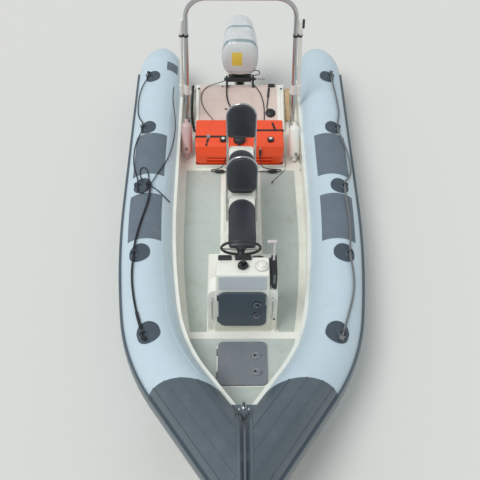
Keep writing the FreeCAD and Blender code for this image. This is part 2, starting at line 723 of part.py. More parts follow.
def below_tube_plane(up):
    """Everything below the planes in which the tubes lie, raised by a height."""
    past = 200.0

    def half(side):
        far = V(side * -TUBE_X, 0, TUBE_Z + up + 2.0 * TUBE_RISE)
        near = V(side * (TUBE_X + past), 0, TUBE_Z + up - past * math.tan(TUBE_TILT))
        low_a = V(near.x, 0, -REACH)
        low_b = V(far.x, 0, -REACH)
        start = Y_AXIS * -REACH
        return prism([near + start, far + start, low_b + start, low_a + start], Y_AXIS * (2.0 * REACH))
    return half(PORT), half(STARBOARD)


def make_hull():
    """The rigid hull below the deck, with the locker under the bow hatch."""
    hull = Part.makeLoft([hull_section(s) for s in HULL_STATIONS], True, True)
    cockpit = liner_prism(TUBE_R - 20.0, (DECK_Z - FLOOR_T, 900.0), TRANSOM_Y + 200.0)
    aft_part = box((-REACH, REACH), (BOW_STEP_Y, REACH), (-REACH, REACH))
    fore_part = box((-REACH, REACH), (-REACH, REACH), (BOW_DECK_Z - FLOOR_T, REACH))
    hull = hull.cut(cockpit.common(aft_part)).cut(cockpit.common(fore_part))
    hull = clear_of_tubes(hull)
    hull = hull.cut(bow_locker((BOW_LOCKER_FLOOR, BOW_DECK_Z)))
    runners = []
    for share in (0.36, 0.68):
        runners.append(hull_runner(share))
        runners.append(mirrored(runners[-1]))
    for runner in runners:
        hull = hull.fuse(runner)
    parts["hull"] = hull.removeSplitter()


def hull_runner(share):
    """A spray rail along the bottom, at a share of the way from keel to chine."""
    sections = []
    for station in HULL_STATIONS[:5]:
        chine_in_x = station.chine_x - CHINE_FLAT * station.chine_x / TUBE_X
        chine_in_z = station.chine_z - CHINE_DROP / 2.0
        slope = (chine_in_z - station.keel_z) / chine_in_x
        x = chine_in_x * share
        z = station.keel_z + slope * x
        outer_z = z + slope * RUNNER_W / 2.0
        inner_z = z - slope * RUNNER_W / 2.0
        fade = 1.0 if station.y > -1200.0 else 0.4
        sections.append(Part.makePolygon([
            V(x - RUNNER_W / 2.0, station.y, inner_z + 2.0),
            V(x + RUNNER_W / 2.0, station.y, outer_z + 2.0),
            V(x + RUNNER_W / 2.0, station.y, outer_z - RUNNER_DROP * fade),
            V(x - RUNNER_W / 2.0, station.y, inner_z + 2.0)]))
    return Part.makeLoft(sections, True, True)


def bow_locker(z_span):
    """The space under the bow hatch."""
    mid_y = sum(BOW_HATCH_Y) / 2.0
    length = BOW_HATCH_Y[1] - BOW_HATCH_Y[0] - 2.0 * HATCH_LAP
    width = 2.0 * BOW_HATCH_HALF - 2.0 * HATCH_LAP
    return rounded_plate(V(0, mid_y, z_span[0]), X_AXIS, Y_AXIS, width, length,
                         BOW_HATCH_R - HATCH_LAP + 8.0, V(0, 0, z_span[1] - z_span[0]))


def make_liner():
    """The deck moulding: cockpit floor, upstand along the tubes and raised bow deck."""
    floor_z = DECK_Z - FLOOR_T
    outer = liner_prism(TUBE_R - 20.0, (floor_z, 900.0), TRANSOM_Y)
    inner = liner_prism(TUBE_R + LINER_T, (DECK_Z, 900.0), TRANSOM_Y + 10.0)
    aft_part = box((-REACH, REACH), (BOW_STEP_Y, REACH), (-REACH, REACH))
    fore_part = box((-REACH, REACH), (-REACH, BOW_STEP_Y), (BOW_DECK_Z - FLOOR_T, REACH))
    shell = outer.common(aft_part.fuse(fore_part))
    bow_deck = box((-REACH, REACH), (-REACH, BOW_STEP_Y), (DECK_Z - 1.0, BOW_DECK_Z))
    shell = shell.cut(inner.cut(bow_deck))
    port_plane, starboard_plane = below_tube_plane(LINER_UP)
    shell = shell.common(port_plane).common(starboard_plane)
    shell = clear_of_tubes(shell)
    shell = shell.cut(bow_locker((0.0, 900.0)))
    parts["deck_liner"] = shell


def make_deck_panels():
    """Non-slip panels on the cockpit floor and the bow deck."""
    area = liner_prism(TUBE_R + LINER_T + PANEL_EDGE, (DECK_Z, DECK_Z + PANEL_T), 1100.0)
    walk = area.common(box((-REACH, REACH), (BOW_STEP_Y + 60.0, REACH), (0, REACH)))
    middle = box((-WALK_INNER_X, WALK_INNER_X), (-REACH, 0.0), (0, REACH))
    aft_middle = box((-POD_BASE_HALF - 30.0, POD_BASE_HALF + 30.0), (-100.0, REACH), (0, REACH))
    walk = walk.cut(middle).cut(aft_middle)
    corners = []
    for edge in walk.Edges:
        ends = [v.Point for v in edge.Vertexes]
        upright = abs(ends[0].z - ends[-1].z) > PANEL_T / 2.0
        if upright and abs(ends[0].y - walk.BoundBox.YMin) < 1.0:
            corners.append(edge)
    walk = walk.makeFillet(PANEL_CORNER_R, corners)
    bow_area = liner_prism(TUBE_R + LINER_T + 34.0, (BOW_DECK_Z, BOW_DECK_Z + PANEL_T), 0.0)
    bow_area = bow_area.common(box((-REACH, REACH), (-REACH, BOW_STEP_Y - 70.0), (0, REACH)))
    hatch_room = rounded_plate(V(0, sum(BOW_HATCH_Y) / 2.0, BOW_DECK_Z - 5.0), X_AXIS, Y_AXIS,
                               2.0 * BOW_HATCH_HALF + 24.0, BOW_HATCH_Y[1] - BOW_HATCH_Y[0] + 24.0,
                               BOW_HATCH_R + 12.0, V(0, 0, 40.0))
    bow_area = bow_area.cut(hatch_room)
    parts["deck_panels"] = Part.makeCompound(walk.Solids + bow_area.Solids)


def make_transom():
    """Transom board and the sloping moulding in front of it."""
    def board_outline(y):
        shoulder = TRANSOM_TOP - 45.0
        points = [(-720.0, DECK_Z), (720.0, DECK_Z), (720.0, shoulder - 30.0), (TRANSOM_HALF + 40.0, shoulder - 30.0),
                  (TRANSOM_HALF, TRANSOM_TOP), (-TRANSOM_HALF, TRANSOM_TOP),
                  (-TRANSOM_HALF - 40.0, shoulder - 30.0), (-720.0, shoulder - 30.0)]
        return [V(x, y, z) for x, z in points]
    board = prism(board_outline(TRANSOM_Y - TRANSOM_T), V(0, TRANSOM_T, 0))
    inside = liner_prism(TUBE_R + LINER_T + SEAT_GAP, (0.0, 900.0), TRANSOM_Y + 10.0)
    board = board.common(inside)
    front = TRANSOM_Y - TRANSOM_T
    slope = prism([V(-TRANSOM_HALF, WELL_FWD_Y, DECK_Z), V(-TRANSOM_HALF, front + 1.0, DECK_Z),
                   V(-TRANSOM_HALF, front + 1.0, TRANSOM_TOP), V(-TRANSOM_HALF, front - 60.0, TRANSOM_TOP - 15.0),
                   V(-TRANSOM_HALF, WELL_FWD_Y, DECK_Z + 35.0)], V(2.0 * TRANSOM_HALF, 0, 0))
    rims = []
    for side, name in SIDES:
        x = side * (TRANSOM_HALF - WELL_RIM_W / 2.0)
        rim = bent_tube([V(x, WELL_FWD_Y - 5.0, DECK_Z + 25.0), V(x, front - 70.0, TRANSOM_TOP - 12.0),
                         V(x, front + 20.0, TRANSOM_TOP - 6.0)], [60.0], WELL_RIM_W / 2.0)
        rims.append(rim)
    moulding = fused([board, slope] + rims)
    parts["transom"] = moulding.common(box((-REACH, REACH), (-REACH, TRANSOM_Y), (DECK_Z, REACH)))


def make_console():
    """The hollow helm console with its front hatch opening and side rails."""
    def side_view(grow, x=-CONSOLE_BASE_HALF):
        base = DECK_Z if grow == 0.0 else DECK_Z - 20.0
        points = [(CONSOLE_FRONT_Y + grow, base), (CONSOLE_FRONT_Y + grow, CONSOLE_TOP_Z - grow),
                  (CONSOLE_TOP_AFT_Y - grow * 0.8, CONSOLE_TOP_Z - grow),
                  (CONSOLE_KNEE_Y - grow, CONSOLE_KNEE_Z), (CONSOLE_BACK_Y - grow, base)]
        return [V(x, y, z) for y, z in points]

    def solid(grow):
        whole = prism(side_view(grow), V(2.0 * CONSOLE_BASE_HALF, 0, 0))
        low = CONSOLE_BASE_HALF - grow
        high = low - CONSOLE_TAPER * 1000.0
        front_view = prism([V(-low, -REACH, DECK_Z), V(low, -REACH, DECK_Z), V(high, -REACH, DECK_Z + 1000.0),
                            V(-high, -REACH, DECK_Z + 1000.0)], V(0, 2.0 * REACH, 0))
        wide_low = prism([V(-low, -REACH, DECK_Z - 50.0), V(low, -REACH, DECK_Z - 50.0), V(low, -REACH, DECK_Z),
                          V(-low, -REACH, DECK_Z)], V(0, 2.0 * REACH, 0))
        return whole.common(front_view.fuse(wide_low))

    outer = solid(0.0)
    rounded = []
    for edge in outer.Edges:
        ends = [v.Point for v in edge.Vertexes]
        upright = abs(ends[0].z - ends[1].z) > 200.0 and abs(ends[0].x) > 100.0
        on_top = min(ends[0].z, ends[1].z) > CONSOLE_TOP_Z - 1.0
        if upright or on_top:
            rounded.append(edge)
    outer = outer.makeFillet(CONSOLE_EDGE_R, rounded)
    inner = solid(CONSOLE_WALL)
    flange = rounded_plate(V(0, (CONSOLE_FRONT_Y + CONSOLE_BACK_Y) / 2.0 - 10.0, DECK_Z), X_AXIS, Y_AXIS,
                           2.0 * (CONSOLE_BASE_HALF + CONSOLE_FLANGE), CONSOLE_BACK_Y - CONSOLE_FRONT_Y + 24.0,
                           26.0, V(0, 0, CONSOLE_FLANGE_T))
    wings = [console_wing(), mirrored(console_wing())]
    shell = outer.fuse(flange).fuse(wings[0]).fuse(wings[1]).removeSplitter().cut(inner)
    mid_z = sum(HATCH_Z) / 2.0
    hole = rounded_plate(V(0, CONSOLE_FRONT_Y - 50.0, mid_z), X_AXIS, Z_AXIS, HATCH_W - 2.0 * HATCH_LAP,
                         HATCH_Z[1] - HATCH_Z[0] - 2.0 * HATCH_LAP, HATCH_R - HATCH_LAP, V(0, 50.0 + CONSOLE_WALL + 30.0, 0))
    parts["console"] = shell.cut(hole)
    rails = []
    root_y = CONSOLE_FRONT_Y + WING_SETBACK - SEAT_GAP
    for side, name in SIDES:
        x = side * RAIL_X
        points = [V(x, root_y, RAIL_Z[1]), V(x, root_y - RAIL_STAND, RAIL_Z[1]),
                  V(x, root_y - RAIL_STAND, RAIL_Z[0]), V(x, root_y, RAIL_Z[0])]
        rails.append(bent_tube(points, [RAIL_BEND_R, RAIL_BEND_R], RAIL_R))
    parts["grab_rails"] = Part.makeCompound(rails)


def console_wing():
    """The moulded wing on the console's port side, round at its upper outer corner."""
    front = CONSOLE_FRONT_Y + WING_SETBACK
    inner_x = CONSOLE_TOP_HALF
    bend = WING_CORNER_R * (1.0 - math.sqrt(0.5))
    corner = [V(WING_HALF, front, WING_TOP_Z - WING_CORNER_R), V(WING_HALF - bend, front, WING_TOP_Z - bend),
              V(WING_HALF - WING_CORNER_R, front, WING_TOP_Z)]
    foot = [V(inner_x, front, DECK_Z), V(WING_HALF, front, DECK_Z)]
    inner_top = V(inner_x, front, WING_TOP_Z)
    outline = Part.Wire([Part.LineSegment(foot[0], foot[1]).toShape(),
                         Part.LineSegment(foot[1], corner[0]).toShape(),
                         Part.Arc(*corner).toShape(),
                         Part.LineSegment(corner[2], inner_top).toShape(),
                         Part.LineSegment(inner_top, foot[0]).toShape()])
    wing = Part.Face(outline).extrude(V(0, WING_DEPTH, 0))
    rounded = []
    for edge in wing.Edges:
        points = [v.Point for v in edge.Vertexes]
        across = abs(points[0].y - points[1].y) < 1.0
        outer = max(p.x for p in points) > WING_HALF - WING_CORNER_R - 1.0 and min(p.z for p in points) > DECK_Z - 1.0
        on_foot = max(p.z for p in points) < DECK_Z + 1.0
        if across and outer and not on_foot and min(p.x for p in points) > WING_HALF - WING_CORNER_R - 1.0:
            rounded.append(edge)
    return wing.makeFillet(WING_EDGE_R, rounded)


def make_console_hatch():
    """The front hatch lid, hinged on its starboard edge, with two turn latches."""
    mid_z = sum(HATCH_Z) / 2.0
    front = CONSOLE_FRONT_Y - SEAT_GAP
    lid = rounded_plate(V(0, front - HATCH_T, mid_z), X_AXIS, Z_AXIS, HATCH_W, HATCH_Z[1] - HATCH_Z[0],
                        HATCH_R, V(0, HATCH_T, 0))
    pieces = [lid]
    for z in (mid_z + 70.0, mid_z - 45.0):
        pieces.append(Part.makeCylinder(24.0, 8.0, V(130.0, front - HATCH_T + 0.5, z), V(0, -1, 0)))
        pieces.append(box((108.0, 152.0), (front - HATCH_T - 18.0, front - HATCH_T - 6.0), (z - 7.0, z + 7.0)))
    for z in (mid_z + 110.0, mid_z - 110.0 - HINGE_L):
        pieces.append(Part.makeCylinder(HINGE_R, HINGE_L, V(*CONSOLE_HINGE, z)))
    parts["console_hatch"] = fused(pieces)


def make_helm():
    """Steering wheel on its column, dash items and throttle box."""
    lean = math.radians(WHEEL_LEAN)
    axis = V(0, math.cos(lean), math.sin(lean))
    centre = V(WHEEL_X, WHEEL_Y, WHEEL_Z)
    across = axis.cross(X_AXIS)
    rim = Part.makeTorus(WHEEL_R, WHEEL_RIM_R, centre, axis)
    hub = Part.makeCylinder(32.0, 34.0, centre - axis * 30.0, axis)
    pieces = [rim, hub]
    for degrees in WHEEL_SPOKES:
        a = math.radians(degrees)
        out = X_AXIS * math.cos(a) + across * math.sin(a)
        width = axis.cross(out)
        spoke = rounded_plate(centre + out * (WHEEL_R / 2.0 + 8.0) - axis * 12.0, out, width, WHEEL_R - 16.0, 24.0,
                              6.0, axis * 6.0)
        pieces.append(spoke)
    bore = Part.makeCylinder(WHEEL_SHAFT_R + PIN_GAP, 26.0, centre - axis * 31.0, axis)
    parts["steering_wheel"] = fused(pieces).cut(bore)
    root = centre - axis * (30.0 + MOVE_GAP)
    housing = Part.makeCylinder(COLUMN_R, 120.0, root, axis * -1.0)
    shaft = Part.makeCylinder(WHEEL_SHAFT_R, MOVE_GAP + 24.0, root - axis, axis)
    foot = slope_point(WHEEL_X, (V(0, centre.y, centre.z) - slope_point(0, 0.0)).dot(slope_down()))
    flange = Part.makeCylinder(COLUMN_FLANGE_R, COLUMN_FLANGE_T + 20.0, foot - slope_normal() * 20.0, slope_normal())
    parts["helm_column"] = fused([housing, flange]).cut(console_fill()).fuse(shaft).removeSplitter()
    gauges = []
    for gauge in GAUGES:
        seat = slope_point(gauge.x, gauge.down) + slope_normal() * SEAT_GAP
        bezel = Part.makeCylinder(gauge.radius, GAUGE_T, seat, slope_normal())
        face = Part.makeCylinder(gauge.radius - 6.0, 6.0, seat + slope_normal() * (GAUGE_T - 4.0), slope_normal())
        gauges.append(bezel.cut(face))
    parts["gauges"] = Part.makeCompound(gauges)


def slope_down():
    """The way down the console's sloping dash, aft of its top."""
    return V(0, CONSOLE_KNEE_Y - CONSOLE_TOP_AFT_Y, CONSOLE_KNEE_Z - CONSOLE_TOP_Z).normalize()


def slope_normal():
    """The way out of the sloping dash."""
    down = slope_down()
    return V(0, -down.z, down.y)


def slope_point(x, down):
    """A point of the sloping dash, a distance down from the console's top edge."""
    return V(x, CONSOLE_TOP_AFT_Y, CONSOLE_TOP_Z) + slope_down() * down


def console_fill():
    """The console's outer form with nothing taken out, as a cutter with a seat gap."""
    g = SEAT_GAP
    points = [(CONSOLE_FRONT_Y - g, DECK_Z), (CONSOLE_FRONT_Y - g, CONSOLE_TOP_Z + g),
              (CONSOLE_TOP_AFT_Y + g, CONSOLE_TOP_Z + g), (CONSOLE_KNEE_Y + g, CONSOLE_KNEE_Z),
              (CONSOLE_BACK_Y + g, DECK_Z)]
    return prism([V(-CONSOLE_BASE_HALF, y, z) for y, z in points], V(2.0 * CONSOLE_BASE_HALF, 0, 0))


def make_dash_items():
    """Compass dome and bracket on the console top, throttle box on its port side."""
    z = CONSOLE_TOP_Z + SEAT_GAP
    compass = Part.makeCylinder(52.0, 12.0, V(150.0, -800.0, z))
    dome = Part.makeSphere(60.0, V(150.0, -800.0, z - 20.0)).common(
        box((0.0, 300.0), (-900.0, -700.0), (z + 5.0, z + 60.0)))
    parts["compass"] = fused([compass, dome])
    mount_plate = Part.makeCylinder(22.0, 8.0, V(5.0, -790.0, z))
    stem = Part.makeCylinder(9.0, 40.0, V(5.0, -790.0, z + 7.0))
    knob = Part.makeSphere(17.0, V(5.0, -790.0, z + 50.0))
    parts["instrument_mount"] = fused([mount_plate, stem, knob])
    hoods = []
    for hood in HOODS:
        hoods.append(rounded_plate(V(hood.x, CONSOLE_TOP_AFT_Y - HOOD_DEPTH, z + HOOD_H / 2.0), X_AXIS, Z_AXIS,
                                   hood.width, HOOD_H, HOOD_H / 2.0 - 1.0, V(0, HOOD_DEPTH, 0)))
    parts["instrument_hoods"] = Part.makeCompound(hoods)
    x = CONSOLE_TOP_HALF + 20.0
    side_box = box((x, x + 45.0), (-840.0, -640.0), (760.0, 900.0)).cut(
        box((0, CONSOLE_TOP_HALF + 10.0), (-REACH, REACH), (-REACH, REACH)))
    backing = box((CONSOLE_TOP_HALF - 10.0, x + 1.0), (-830.0, -650.0), (780.0, 880.0)).cut(console_side_fill())
    lever = fused([rod(V(x + 20.0, -700.0, 880.0), V(x + 26.0, -640.0, 1060.0), 9.0),
                   rod(V(x - 34.0, -640.0, 1062.0), V(x + 40.0, -640.0, 1062.0), 14.0)])
    parts["throttle_control"] = fused([side_box, backing, lever])


def console_side_fill():
    """The tapered sides of the console as a cutter with a seat gap."""
    low = CONSOLE_BASE_HALF + SEAT_GAP
    high = low - CONSOLE_TAPER * 1000.0
    return prism([V(-low, -REACH, DECK_Z), V(low, -REACH, DECK_Z), V(high, -REACH, DECK_Z + 1000.0),
                  V(-high, -REACH, DECK_Z + 1000.0)], V(0, 2.0 * REACH, 0))


def make_seats():
    """Two saddle seats: moulded pod, pad, hoop and back pad."""
    for seat in SEATS:
        mid_y = (seat.front_y + seat.back_y) / 2.0
        length = seat.back_y - seat.front_y
        pod_top = seat.top_z - PAD_T - SEAT_GAP
        back_y = seat.backrest_y + REST_T / 2.0 + 34.0
        pod_mid = (seat.front_y + back_y) / 2.0
        pod_len = back_y - seat.front_y
        pod = level_loft(((DECK_Z, 0, pod_mid + 4.0, 2.0 * POD_BASE_HALF, pod_len - 8.0, 40.0),
                          (DECK_Z + 30.0, 0, pod_mid + 4.0, 2.0 * POD_BASE_HALF, pod_len - 8.0, 40.0),
                          (DECK_Z + 160.0, 0, pod_mid + 8.0, 2.0 * POD_TOP_HALF, pod_len - 24.0, 40.0),
                          (pod_top, 0, pod_mid, 2.0 * POD_TOP_HALF, pod_len - 8.0, 34.0)))
        parts["seat_pod_" + seat.name] = pod
        pad = level_loft(((pod_top + SEAT_GAP, 0, mid_y, 2.0 * PAD_HALF, length, 38.0),
                          (seat.top_z - 25.0, 0, mid_y, 2.0 * PAD_HALF, length, 38.0),
                          (seat.top_z, 0, mid_y, 2.0 * PAD_HALF - 46.0, length - 46.0, 30.0)))
        parts["seat_pad_" + seat.name] = pad
        parts["back_pad_" + seat.name] = back_pad(seat)
        parts["back_frame_" + seat.name] = back_frame(seat)


def back_pad(seat):
    """A back pad with a half-round top."""
    y = seat.backrest_y - REST_T / 2.0
    low = seat.backrest_top - REST_H
    top_centre = seat.backrest_top - REST_HALF
    outline = Part.Wire([
        Part.LineSegment(V(-REST_HALF, y, low), V(REST_HALF, y, low)).toShape(),
        Part.LineSegment(V(REST_HALF, y, low), V(REST_HALF, y, top_centre)).toShape(),
        Part.Arc(V(REST_HALF, y, top_centre), V(0, y, seat.backrest_top), V(-REST_HALF, y, top_centre)).toShape(),
        Part.LineSegment(V(-REST_HALF, y, top_centre), V(-REST_HALF, y, low)).toShape()])
    return Part.Face(outline).extrude(V(0, REST_T - 22.0, 0))


def back_frame(seat):
    """A stainless hoop behind the back pad, down to the sides of the pod."""
    y = seat.backrest_y + REST_T / 2.0 - 22.0 + REST_TUBE_R + SEAT_GAP
    x = POD_TOP_HALF + REST_TUBE_R + SEAT_GAP + 3.0
    bottom = DECK_Z + 330.0
    top_centre = seat.backrest_top - x - REST_TUBE_R
    path = Part.Wire([
        Part.LineSegment(V(-x, y, bottom), V(-x, y, top_centre)).toShape(),
        Part.Arc(V(-x, y, top_centre), V(0, y, top_centre + x), V(x, y, top_centre)).toShape(),
        Part.LineSegment(V(x, y, top_centre), V(x, y, bottom)).toShape()])
    ring = Part.Wire(Part.makeCircle(REST_TUBE_R, V(-x, y, bottom), Z_AXIS))
    pieces = [path.makePipeShell([ring], True, False)]
    for side, name in SIDES:
        for z in (DECK_Z + 360.0, seat.top_z - PAD_T - 40.0):
            inner_x = POD_TOP_HALF + SEAT_GAP
            outer_x = x + 2.0
            low_x = min(side * inner_x, side * outer_x)
            pieces.append(box((low_x, low_x + outer_x - inner_x), (y - 15.0, y + 15.0), (z - 12.0, z + 12.0)))
    return fused(pieces)


def make_bow_hatch():
    """The bow locker lid with two lift latches near its port edge."""
    mid_y = sum(BOW_HATCH_Y) / 2.0
    z = BOW_DECK_Z + SEAT_GAP
    lid = rounded_plate(V(0, mid_y, z), X_AXIS, Y_AXIS, 2.0 * BOW_HATCH_HALF, BOW_HATCH_Y[1] - BOW_HATCH_Y[0],
                        BOW_HATCH_R, V(0, 0, BOW_HATCH_T))
    pieces = [lid]
    for y in (mid_y + 75.0, mid_y - 90.0):
        pieces.append(Part.makeCylinder(27.0, 6.0, V(128.0, y, z + BOW_HATCH_T - 0.5)))
        pieces.append(box((106.0, 150.0), (y - 7.0, y + 7.0), (z + BOW_HATCH_T + 4.0, z + BOW_HATCH_T + 15.0)))
    for y in (mid_y + 80.0, mid_y - 80.0 - HINGE_L):
        pieces.append(Part.makeCylinder(HINGE_R, HINGE_L, V(BOW_HINGE[0], y, BOW_HINGE[1]), Y_AXIS))
    parts["bow_hatch"] = fused(pieces)


def make_fuel():
    """Two portable tanks in a tray, each under a webbing strap."""
    z = DECK_Z + TRAY_T
    straps = []
    for side, name in SIDES:
        centre_x = TANK_MID_X + side * (TANK_W + TANK_GAP) / 2.0
        y0, y1 = TANK_Y
        outline = [(y0 + 22.0, z), (y0 + 22.0, z + 34.0), (y0, z + 50.0), (y0, z + 150.0),
                   (y0 + 34.0, z + TANK_H - 24.0), (y0 + 62.0, z + TANK_H), (y1 - 24.0, z + TANK_H),
                   (y1, z + TANK_H - 24.0), (y1, z)]
        tank = prism([V(centre_x - TANK_W / 2.0, y, h + SEAT_GAP) for y, h in outline], V(TANK_W, 0, 0))
        rounded = []
        for edge in tank.Edges:
            ends = [v.Point for v in edge.Vertexes]
            on_side = abs(ends[0].x - ends[1].x) < 1.0
            high = min(ends[0].z, ends[1].z) > z + 100.0
            aft = min(ends[0].y, ends[1].y) > y1 - 1.0
            if on_side and (high or aft):
                rounded.append(edge)
        tank = tank.makeFillet(TANK_EDGE_R, rounded)
        plan = rounded_plate(V(centre_x, (y0 + y1) / 2.0, DECK_Z), X_AXIS, Y_AXIS, TANK_W, y1 - y0,
                             TANK_CORNER_R, V(0, 0, TRAY_T + TANK_H + 50.0))
        recess = rounded_plate(V(centre_x, y0 - 10.0, z + sum(TANK_GRIP_Z) / 2.0), X_AXIS, Z_AXIS,
                               2.0 * TANK_GRIP_HALF, TANK_GRIP_Z[1] - TANK_GRIP_Z[0], 20.0,
                               V(0, TANK_GRIP_DEPTH + 10.0, 0))
        grip_y = y0 + TANK_GRIP_R + 2.0
        grip_z = z + sum(TANK_GRIP_Z) / 2.0
        grip = rod(V(centre_x - TANK_GRIP_HALF - 5.0, grip_y, grip_z), V(centre_x + TANK_GRIP_HALF + 5.0, grip_y, grip_z),
                   TANK_GRIP_R)
        tank = tank.common(plan).cut(recess).fuse(grip).removeSplitter()
        neck = V(centre_x + TANK_CAP_X[name], y0 + TANK_CAP_BACK, z + TANK_H + 2.0 * SEAT_GAP)
        parts["fuel_tank_" + name] = tank
        parts["tank_cap_" + name] = fused([Part.makeCylinder(CAP_R, 24.0, neck),
                                           Part.makeCylinder(CAP_R / 2.0, 29.0, neck)])
        straps.append(tank_strap(centre_x, STRAP_Y[name], z))
    parts["tank_straps"] = Part.makeCompound(straps)
    x_half = TANK_W + TANK_GAP / 2.0 + 10.0
    tray = rounded_plate(V(TANK_MID_X, sum(TANK_Y) / 2.0, DECK_Z), X_AXIS, Y_AXIS, 2.0 * x_half,
                         TANK_Y[1] - TANK_Y[0] + 24.0, 30.0, V(0, 0, TRAY_T + TRAY_LIP))
    hollow = rounded_plate(V(TANK_MID_X, sum(TANK_Y) / 2.0, z), X_AXIS, Y_AXIS, 2.0 * x_half - 16.0,
                           TANK_Y[1] - TANK_Y[0] + 8.0, 24.0, V(0, 0, 200.0))
    parts["tank_tray"] = tray.cut(hollow)


def tank_strap(centre_x, y, z):
    """A webbing band over one tank, down both of its sides to the tray."""
    inner = TANK_W / 2.0 + SEAT_GAP
    top = z + TANK_H + 2.0 * SEAT_GAP
    low = z + TRAY_LIP + 4.0
    outer_band = box((centre_x - inner - STRAP_T, centre_x + inner + STRAP_T), (y - STRAP_W / 2.0, y + STRAP_W / 2.0),
                     (low, top + STRAP_T))
    return outer_band.cut(box((centre_x - inner, centre_x + inner), (-REACH, REACH), (-REACH, top)))


def make_arch():
    """Stainless arch over the engine well, with a pole strapped outside each leg."""
    points = [V(-ARCH_BASE_X, ARCH_BASE_Y, DECK_Z + 6.0), V(-ARCH_TOP_X, ARCH_TOP_Y, ARCH_TOP_Z),
              V(ARCH_TOP_X, ARCH_TOP_Y, ARCH_TOP_Z), V(ARCH_BASE_X, ARCH_BASE_Y, DECK_Z + 6.0)]
    hoop = bent_tube(points, [ARCH_CORNER_R, ARCH_CORNER_R], ARCH_R)
    feet = [box((side * ARCH_BASE_X - 34.0, side * ARCH_BASE_X + 34.0), (ARCH_BASE_Y - 50.0, ARCH_BASE_Y + 50.0),
                (DECK_Z, DECK_Z + 10.0)) for side, name in SIDES]
    parts["arch"] = fused([hoop] + feet)
    poles = []
    clamps = []
    pole_foot = V(POLE_FOOT[0], ARCH_BASE_Y + 8.0, POLE_FOOT[1])
    pole_head = V(POLE_HEAD[0], ARCH_TOP_Y, POLE_HEAD[1])
    pole = rod(pole_foot, pole_head, POLE_R)
    for clamp in POLE_CLAMPS:
        on_pole = pole_foot + (pole_head - pole_foot) * ((clamp.z - pole_foot.z) / (pole_head.z - pole_foot.z))
        on_leg = points[3] + (points[2] - points[3]) * ((clamp.z - points[3].z) / (points[2].z - points[3].z))
        rise = V(0, 0, clamp.height / 2.0)
        shell = fused([rod(on_pole - rise, on_pole + rise, POLE_R + clamp.wall),
                       rod(on_leg - rise, on_leg + rise, ARCH_R + clamp.wall),
                       box((on_leg.x, on_pole.x), (on_leg.y - 12.0, on_leg.y + 12.0),
                           (clamp.z - rise.z, clamp.z + rise.z))])
        bores = [rod(pole_foot, pole_head, POLE_R + SEAT_GAP), rod(points[3], points[2], ARCH_R + SEAT_GAP)]
        clamps.append(shell.cut(bores[0]).cut(bores[1]))
    for side, name in SIDES:
        poles.append(pole if side == PORT else mirrored(pole))
    parts["side_poles"] = Part.makeCompound(poles)
    parts["pole_clamps"] = Part.makeCompound(clamps + [mirrored(clamp) for clamp in clamps])


def make_fenders():
    """Two small fenders that hang beside the arch legs."""
    for side, name in SIDES:
        x = side * (TUBE_X - TUBE_R - LINER_T - SEAT_GAP - FENDER_R)
        place = FENDERS[name]
        top = V(x, place.y, place.z)
        axis = V(0, -math.sin(math.radians(FENDER_LEAN)), -math.cos(math.radians(FENDER_LEAN)))
        body = fender_body(top, axis)
        for along in (-FENDER_R - FENDER_NECK + FENDER_HOLE_IN, FENDER_LENGTH + FENDER_R + FENDER_NECK - FENDER_HOLE_IN):
            middle = top + axis * along
            body = body.cut(rod(middle - X_AXIS * FENDER_R, middle + X_AXIS * FENDER_R, FENDER_HOLE_R))
        parts["fender_" + name] = body


def fender_body(top, axis):
    """A round fender turned about its axis: two domed ends, each with a neck."""
    def at(along, away):
        return top + axis * along + X_AXIS * away
    neck = FENDER_R + FENDER_NECK
    root = math.sqrt(FENDER_R ** 2 - FENDER_NECK_R ** 2)
    slant = FENDER_R * math.sqrt(0.5)
    far = FENDER_LENGTH
    outline = [Part.LineSegment(at(-neck, 0), at(-neck, FENDER_NECK_R)).toShape(),
               Part.LineSegment(at(-neck, FENDER_NECK_R), at(-root, FENDER_NECK_R)).toShape(),
               Part.Arc(at(-root, FENDER_NECK_R), at(-slant, slant), at(0, FENDER_R)).toShape(),
               Part.LineSegment(at(0, FENDER_R), at(far, FENDER_R)).toShape(),
               Part.Arc(at(far, FENDER_R), at(far + slant, slant), at(far + root, FENDER_NECK_R)).toShape(),
               Part.LineSegment(at(far + root, FENDER_NECK_R), at(far + neck, FENDER_NECK_R)).toShape(),
               Part.LineSegment(at(far + neck, FENDER_NECK_R), at(far + neck, 0)).toShape(),
               Part.LineSegment(at(far + neck, 0), at(-neck, 0)).toShape()]
    return Part.Face(Part.Wire(outline)).revolve(top, axis, 360.0)


